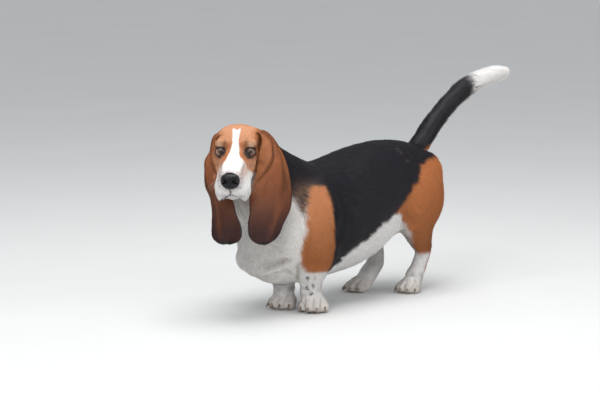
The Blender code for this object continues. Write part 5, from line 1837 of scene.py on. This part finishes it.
def tube(bm, ring_points, radius, sides, closed=False, taper=None):
    """A round tube along a line of points."""
    count = len(ring_points)
    rows = []
    for k, point in enumerate(ring_points):
        before = ring_points[k - 1] if closed or k else point
        after = ring_points[(k + 1) % count] if closed or k < count - 1 else point
        way = (after - before).normalized()
        across = way.cross(Vector((0.31, 0.27, 0.91))).normalized()
        other = way.cross(across)
        r = radius * (taper(k / (count - 1)) if taper else 1.0)
        rows.append([
            bm.verts.new(point + (across * cos(t) + other * sin(t)) * r)
            for t in np.arange(sides) * 2 * pi / sides
        ])
    pairs = list(zip(rows, rows[1:])) + ([(rows[-1], rows[0])] if closed else [])
    for low, high in pairs:
        for i in range(sides):
            j = (i + 1) % sides
            bm.faces.new((low[i], low[j], high[j], high[i]))
    if not closed:
        bm.faces.new(rows[0][::-1])
        bm.faces.new(rows[-1])


def eye_ball(side, name):
    """The eyeball, turned so that its pole looks at the camera, and painted ring by ring."""
    hues = tones()
    centre = HEAD_IN_MODEL @ Vector((EYE_AT.x * side, EYE_AT.y, EYE_AT.z))
    gaze = (CAMERA_AT - centre).normalized()
    spin = gaze.to_track_quat("Z", "Y").to_matrix().to_4x4()
    bm = bmesh.new()
    bmesh.ops.create_uvsphere(bm, u_segments=128, v_segments=96, radius=1.0)
    mesh = finished(bm, name)
    points = read_points(mesh)
    angle = np.arccos(np.clip(points[:, 2], -1, 1))
    turn = np.arctan2(points[:, 1], points[:, 0])
    iris_edge = asin(IRIS_RADIUS / EYE_RADIUS)
    pupil_edge = asin(PUPIL_RADIUS / EYE_RADIUS)
    share = np.clip((angle - pupil_edge) / (iris_edge - pupil_edge), 0, 1)
    rng = np.random.default_rng(7 + side)
    streaks = np.zeros(len(points))
    for wave in range(14, 70):
        streaks += np.cos(turn * wave + rng.uniform(0, 2 * pi)) * rng.uniform(0.2, 1.0)
    streaks /= np.abs(streaks).max()
    tone = np.tile(hues["iris"], (len(points), 1))
    tone = tone * (1 + 0.30 * streaks * np.sin(share * pi))[:, None]
    tone = tone * (1 - 0.30 * bump(share, 0.30, 0.10))[:, None]
    tone = blend(tone, hues["iris"] * (1.15, 1.10, 1.05), 0.8 * bump(share, 0.55, 0.20))
    tone = blend(tone, hues["iris"] * (0.10, 0.08, 0.08), ramp(share, 0.80, 0.96))
    tone = blend(tone, hues["nose"], 1 - ramp(angle, pupil_edge - 0.02, pupil_edge + 0.03))
    white = ramp(angle, iris_edge - 0.03, iris_edge + 0.05)
    tone = blend(tone, hues["eyewhite"] * (0.75, 0.66, 0.62), white)
    vein = ramp(cloud(points * 10, 1.1, 5), 0.35, 0.8)
    vein *= ramp(angle, iris_edge + 0.15, iris_edge + 0.5)
    tone = blend(tone, hues["haw"], 0.55 * vein)
    bulge = 0.055 * (1 - ramp(angle, 0.0, iris_edge * 1.1))
    write_points(mesh, moved(points * (EYE_RADIUS * (1 + bulge))[:, None],
                             Matrix.Translation(centre) @ spin))
    paint(mesh, "tone", np.clip(tone, 0, 1))
    return placed(name, mesh)


def claw_at(bm, place, toe):
    """One blunt curved claw that leaves the front of its toe."""
    sideways, forward, _, half_length, _ = toe
    start = forward + half_length - CLAW_INSET
    half_width, half_depth = CLAW_HALF
    rows = []
    for share, level, width, depth in CLAW_SECTIONS:
        x = sideways * (1 + 0.15 * share)
        rows.append((x, -start - CLAW_LENGTH * share, level, half_width * width, half_depth * depth))
    rings = limb_rings(rows, steps=3, sides=14)
    rings = rings + rounded_end(rings[::-1])[::-1]
    bridge(bm, [[place @ point for point in ring] for ring in rings])


# Operators

def ride(*pieces):
    for piece in pieces:
        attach(piece, "root")


def dress(piece, material):
    """Gives a piece its material and smooth shading, and lets it ride with the dog."""
    piece.data.materials.append(material)
    piece.data.shade_smooth()
    ride(piece)


def need(name):
    thing = bpy.data.objects.get(name)
    if thing is None:
        raise RuntimeError(f"{name} is made first")
    return thing


class HOUND_OT_skin(bpy.types.Operator):
    """Fuse the whole skin with its ears, folds and lids, and mark its colours"""

    bl_idname = "hound.skin"
    bl_label = "Skin"

    def execute(self, context):
        skin = fused_flesh()
        add_ears(skin)
        refined_skin(skin)
        crease(skin)
        form_lids(skin)
        describe(skin)
        skin.data.materials.clear()
        dress(skin, skin_material())
        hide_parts(*FLESH_NODES)
        return {"FINISHED"}


class HOUND_OT_coat(bpy.types.Operator):
    """Lay the hair over the skin, in one piece for each region"""

    bl_idname = "hound.coat"
    bl_label = "Coat"

    def execute(self, context):
        ride(*grow_coat(need("skin")))
        return {"FINISHED"}


class HOUND_OT_eyes(bpy.types.Operator):
    """Make the eyeballs, the dark rims of the lids and the red rim below each eye"""

    bl_idname = "hound.eyes"
    bl_label = "Eyes"

    def execute(self, context):
        hues = tones()
        ball = plain_material("eyeball", 0.14, 0.35, coat=0.5)
        rims = plain_material("lid_rim", 0.38, 0.5, coat=0.2)
        for side, word in ((1, "left"), (-1, "right")):
            eye = eye_ball(side, f"eyeball_{word}")
            dress(eye, ball)
            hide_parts(f"eye_{word}")
            for kind, hue, (share, stands, radius) in (
                ("lid_rim", hues["lips"], LID_RIM), ("haw", hues["haw"], HAW_RIM),
            ):
                ring = opening_ring(side, share, stands)
                closed, taper = kind == "lid_rim", None
                if not closed:
                    ring = ring[int(len(ring) * HAW_START):]
                    taper = lambda t: 0.25 + 0.75 * sin(pi * t)
                piece = shape_object(
                    f"{kind}_{word}", lambda bm: tube(bm, ring, radius, 10, closed, taper)
                )
                paint(piece.data, "tone", np.tile(hue, (len(piece.data.vertices), 1)))
                dress(piece, rims)
        return {"FINISHED"}


class HOUND_OT_nose(bpy.types.Operator):
    """Make the nose leather with its nostrils"""

    bl_idname = "hound.nose"
    bl_label = "Nose"

    def execute(self, context):
        nose = shape_object("nose_leather", lambda bm: trunk(bm, NOSE_ROWS, 6, 48, HEAD_IN_MODEL))
        for side in (1, -1):
            for (x, y, z), radii, turn in NOSTRILS:
                turn = (turn[0], turn[1] * side, turn[2] * side)
                carve(nose, shape_object("nostril", lambda bm: ball(
                    bm, (x * side, y, z), radii, turn, place=HEAD_IN_MODEL)))
        fuse(nose, NOSE_GRID)
        points = even_out(read_points(nose.data), read_edges(nose.data), 5)
        head = in_head(points)
        middle = bump(head[:, 0], 0.0, 0.0011) * (head[:, 1] < -0.115) * (head[:, 2] < -0.024)
        head[:, 1] += 0.0012 * middle
        write_points(nose.data, moved(head, HEAD_IN_MODEL))
        # painted shade in and round the nostrils: the leather is darker near them
        dark = np.ones(len(points))
        for side in (1, -1):
            spot = np.array(NOSTRILS[0][0]) * (side, 1, 1)
            dark = np.minimum(dark, ramp(np.linalg.norm(head - spot, axis=1), 0.004, 0.009))
        paint(nose.data, "tone", tones()["nose"] * (0.35 + 0.65 * dark)[:, None])
        dress(nose, nose_material())
        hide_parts("nose")
        return {"FINISHED"}


class HOUND_OT_claws(bpy.types.Operator):
    """Set a claw in each toe"""

    bl_idname = "hound.claws"
    bl_label = "Claws"

    def execute(self, context):
        builders = [
            lambda bm, place=TO_MODEL @ paw_place(name), toe=toe: claw_at(bm, place, toe)
            for name in FEET for toe in TOES
        ]
        claws = shape_object("claws", *builders)
        points = read_points(claws.data)
        tone = tones()["claw"] * (1 + 0.35 * cloud(points, 0.004, 6))[:, None]
        paint(claws.data, "tone", np.clip(tone, 0, 1))
        dress(claws, plain_material("claw_horn", 0.40, 0.5, 0.1, 700.0, 0.0002))
        return {"FINISHED"}


class HOUND_OT_whiskers(bpy.types.Operator):
    """Plant thin whiskers on both sides of the muzzle"""

    bl_idname = "hound.whiskers"
    bl_label = "Whiskers"

    def execute(self, context):
        tree = surface_tree(need("skin").data)
        rng = np.random.default_rng(12)
        bm = bmesh.new()
        turn = HEAD_IN_MODEL.to_3x3()
        for side in (1, -1):
            for k in range(sizes().whiskers):
                spot = Vector((0.032 * side, -0.100 + 0.0052 * k, -0.048 - 0.0042 * (k % 4)))
                root, facing, _, _ = tree.find_nearest(HEAD_IN_MODEL @ spot)
                way = (turn @ Vector((0.75 * side, 0.35, -0.55 - 0.2 * (k % 3)))).normalized()
                reach = rng.uniform(0.012, 0.024)
                line = []
                for t in np.linspace(0, 1, 7):
                    fall = Vector((0, 0, -0.008 * t * t))
                    out = (way * 0.75 + facing * 0.5) * reach * t
                    line.append(root - facing * 0.0006 + out + fall)
                tube(bm, line, WHISKER_RADIUS, 4, taper=lambda t: 1.0 - 0.85 * t)
        mesh = finished(bm, "whiskers")
        paint(mesh, "tone", np.tile(tones()["white"] * 0.7, (len(mesh.vertices), 1)))
        dress(placed("whiskers", mesh), plain_material("whisker_hair", 0.45))
        return {"FINISHED"}


def aimed(name, data, spot, aim):
    """A light or camera at one place, pointed at another."""
    thing = placed(name, data)
    thing.location = spot
    thing.rotation_mode = "QUATERNION"
    thing.rotation_quaternion = (Vector(aim) - Vector(spot)).to_track_quat("-Z", "Y")
    return thing


class HOUND_OT_stage(bpy.types.Operator):
    """Set the floor, the soft lights and the camera"""

    bl_idname = "hound.stage"
    bl_label = "Stage"

    def execute(self, context):
        scene = context.scene
        scene.view_settings.view_transform = "Standard"
        hue = tones()["floor"]
        bm = bmesh.new()
        bmesh.ops.create_circle(bm, cap_ends=True, segments=96, radius=FLOOR_RADIUS)
        floor = placed("floor", finished(bm, "floor"))
        made = Nodes("matt_floor")
        rgb = made.node("ShaderNodeRGB")
        rgb.outputs[0].default_value = (*hue, 1.0)
        made.colour(rgb.outputs[0], made.noise(3.0), 0.97, 1.03, 0.0, 1.0)
        made.bump(made.noise(400.0), 0.0004, 0.3)
        made.set(Roughness=0.85, Specular_IOR_Level=0.2)
        floor.data.materials.append(made.material)

        world = bpy.data.worlds.new("studio")
        world.use_nodes = True
        surround = world.node_tree.nodes["Background"]
        surround.inputs["Color"].default_value = SURROUND
        surround.inputs["Strength"].default_value = SURROUND_STRENGTH
        scene.world = world
        for name, spot, aim, size, power in LIGHTS:
            light = bpy.data.lights.new(name, "AREA")
            light.shape = "DISK"
            light.size = size
            light.energy = power
            aimed(name, light, spot, aim)

        view = bpy.data.cameras.new("camera")
        view.lens = CAMERA_LENS
        view.sensor_width = 36.0
        view.clip_end = 200.0
        scene.camera = aimed("camera", view, CAMERA_AT, CAMERA_AIM)
        return {"FINISHED"}


class HOUND_PT_panel(bpy.types.Panel):
    bl_label = "Hound"
    bl_idname = "HOUND_PT_panel"
    bl_space_type = "VIEW_3D"
    bl_region_type = "UI"
    bl_category = "Hound"

    def draw(self, context):
        layout = self.layout
        for operator in OPERATORS:
            layout.operator(operator.bl_idname)
        for group in (context.scene.hound_sizes, context.scene.hound_colours):
            box = layout.box()
            for name in group.__annotations__:
                box.prop(group, name)


OPERATORS = (
    HOUND_OT_skin, HOUND_OT_coat, HOUND_OT_eyes, HOUND_OT_nose, HOUND_OT_claws, HOUND_OT_whiskers,
    HOUND_OT_stage,
)
CLASSES = (HOUND_PG_colours, HOUND_PG_sizes, *OPERATORS, HOUND_PT_panel)


def register():
    for entry in CLASSES:
        bpy.utils.register_class(entry)
    bpy.types.Scene.hound_colours = PointerProperty(type=HOUND_PG_colours)
    bpy.types.Scene.hound_sizes = PointerProperty(type=HOUND_PG_sizes)


def unregister():
    del bpy.types.Scene.hound_sizes
    del bpy.types.Scene.hound_colours
    for entry in reversed(CLASSES):
        bpy.utils.unregister_class(entry)


def main():
    register()
    for operator in OPERATORS:
        group, name = operator.bl_idname.split(".")
        getattr(getattr(bpy.ops, group), name)()


if __name__ == "__main__":
    main()
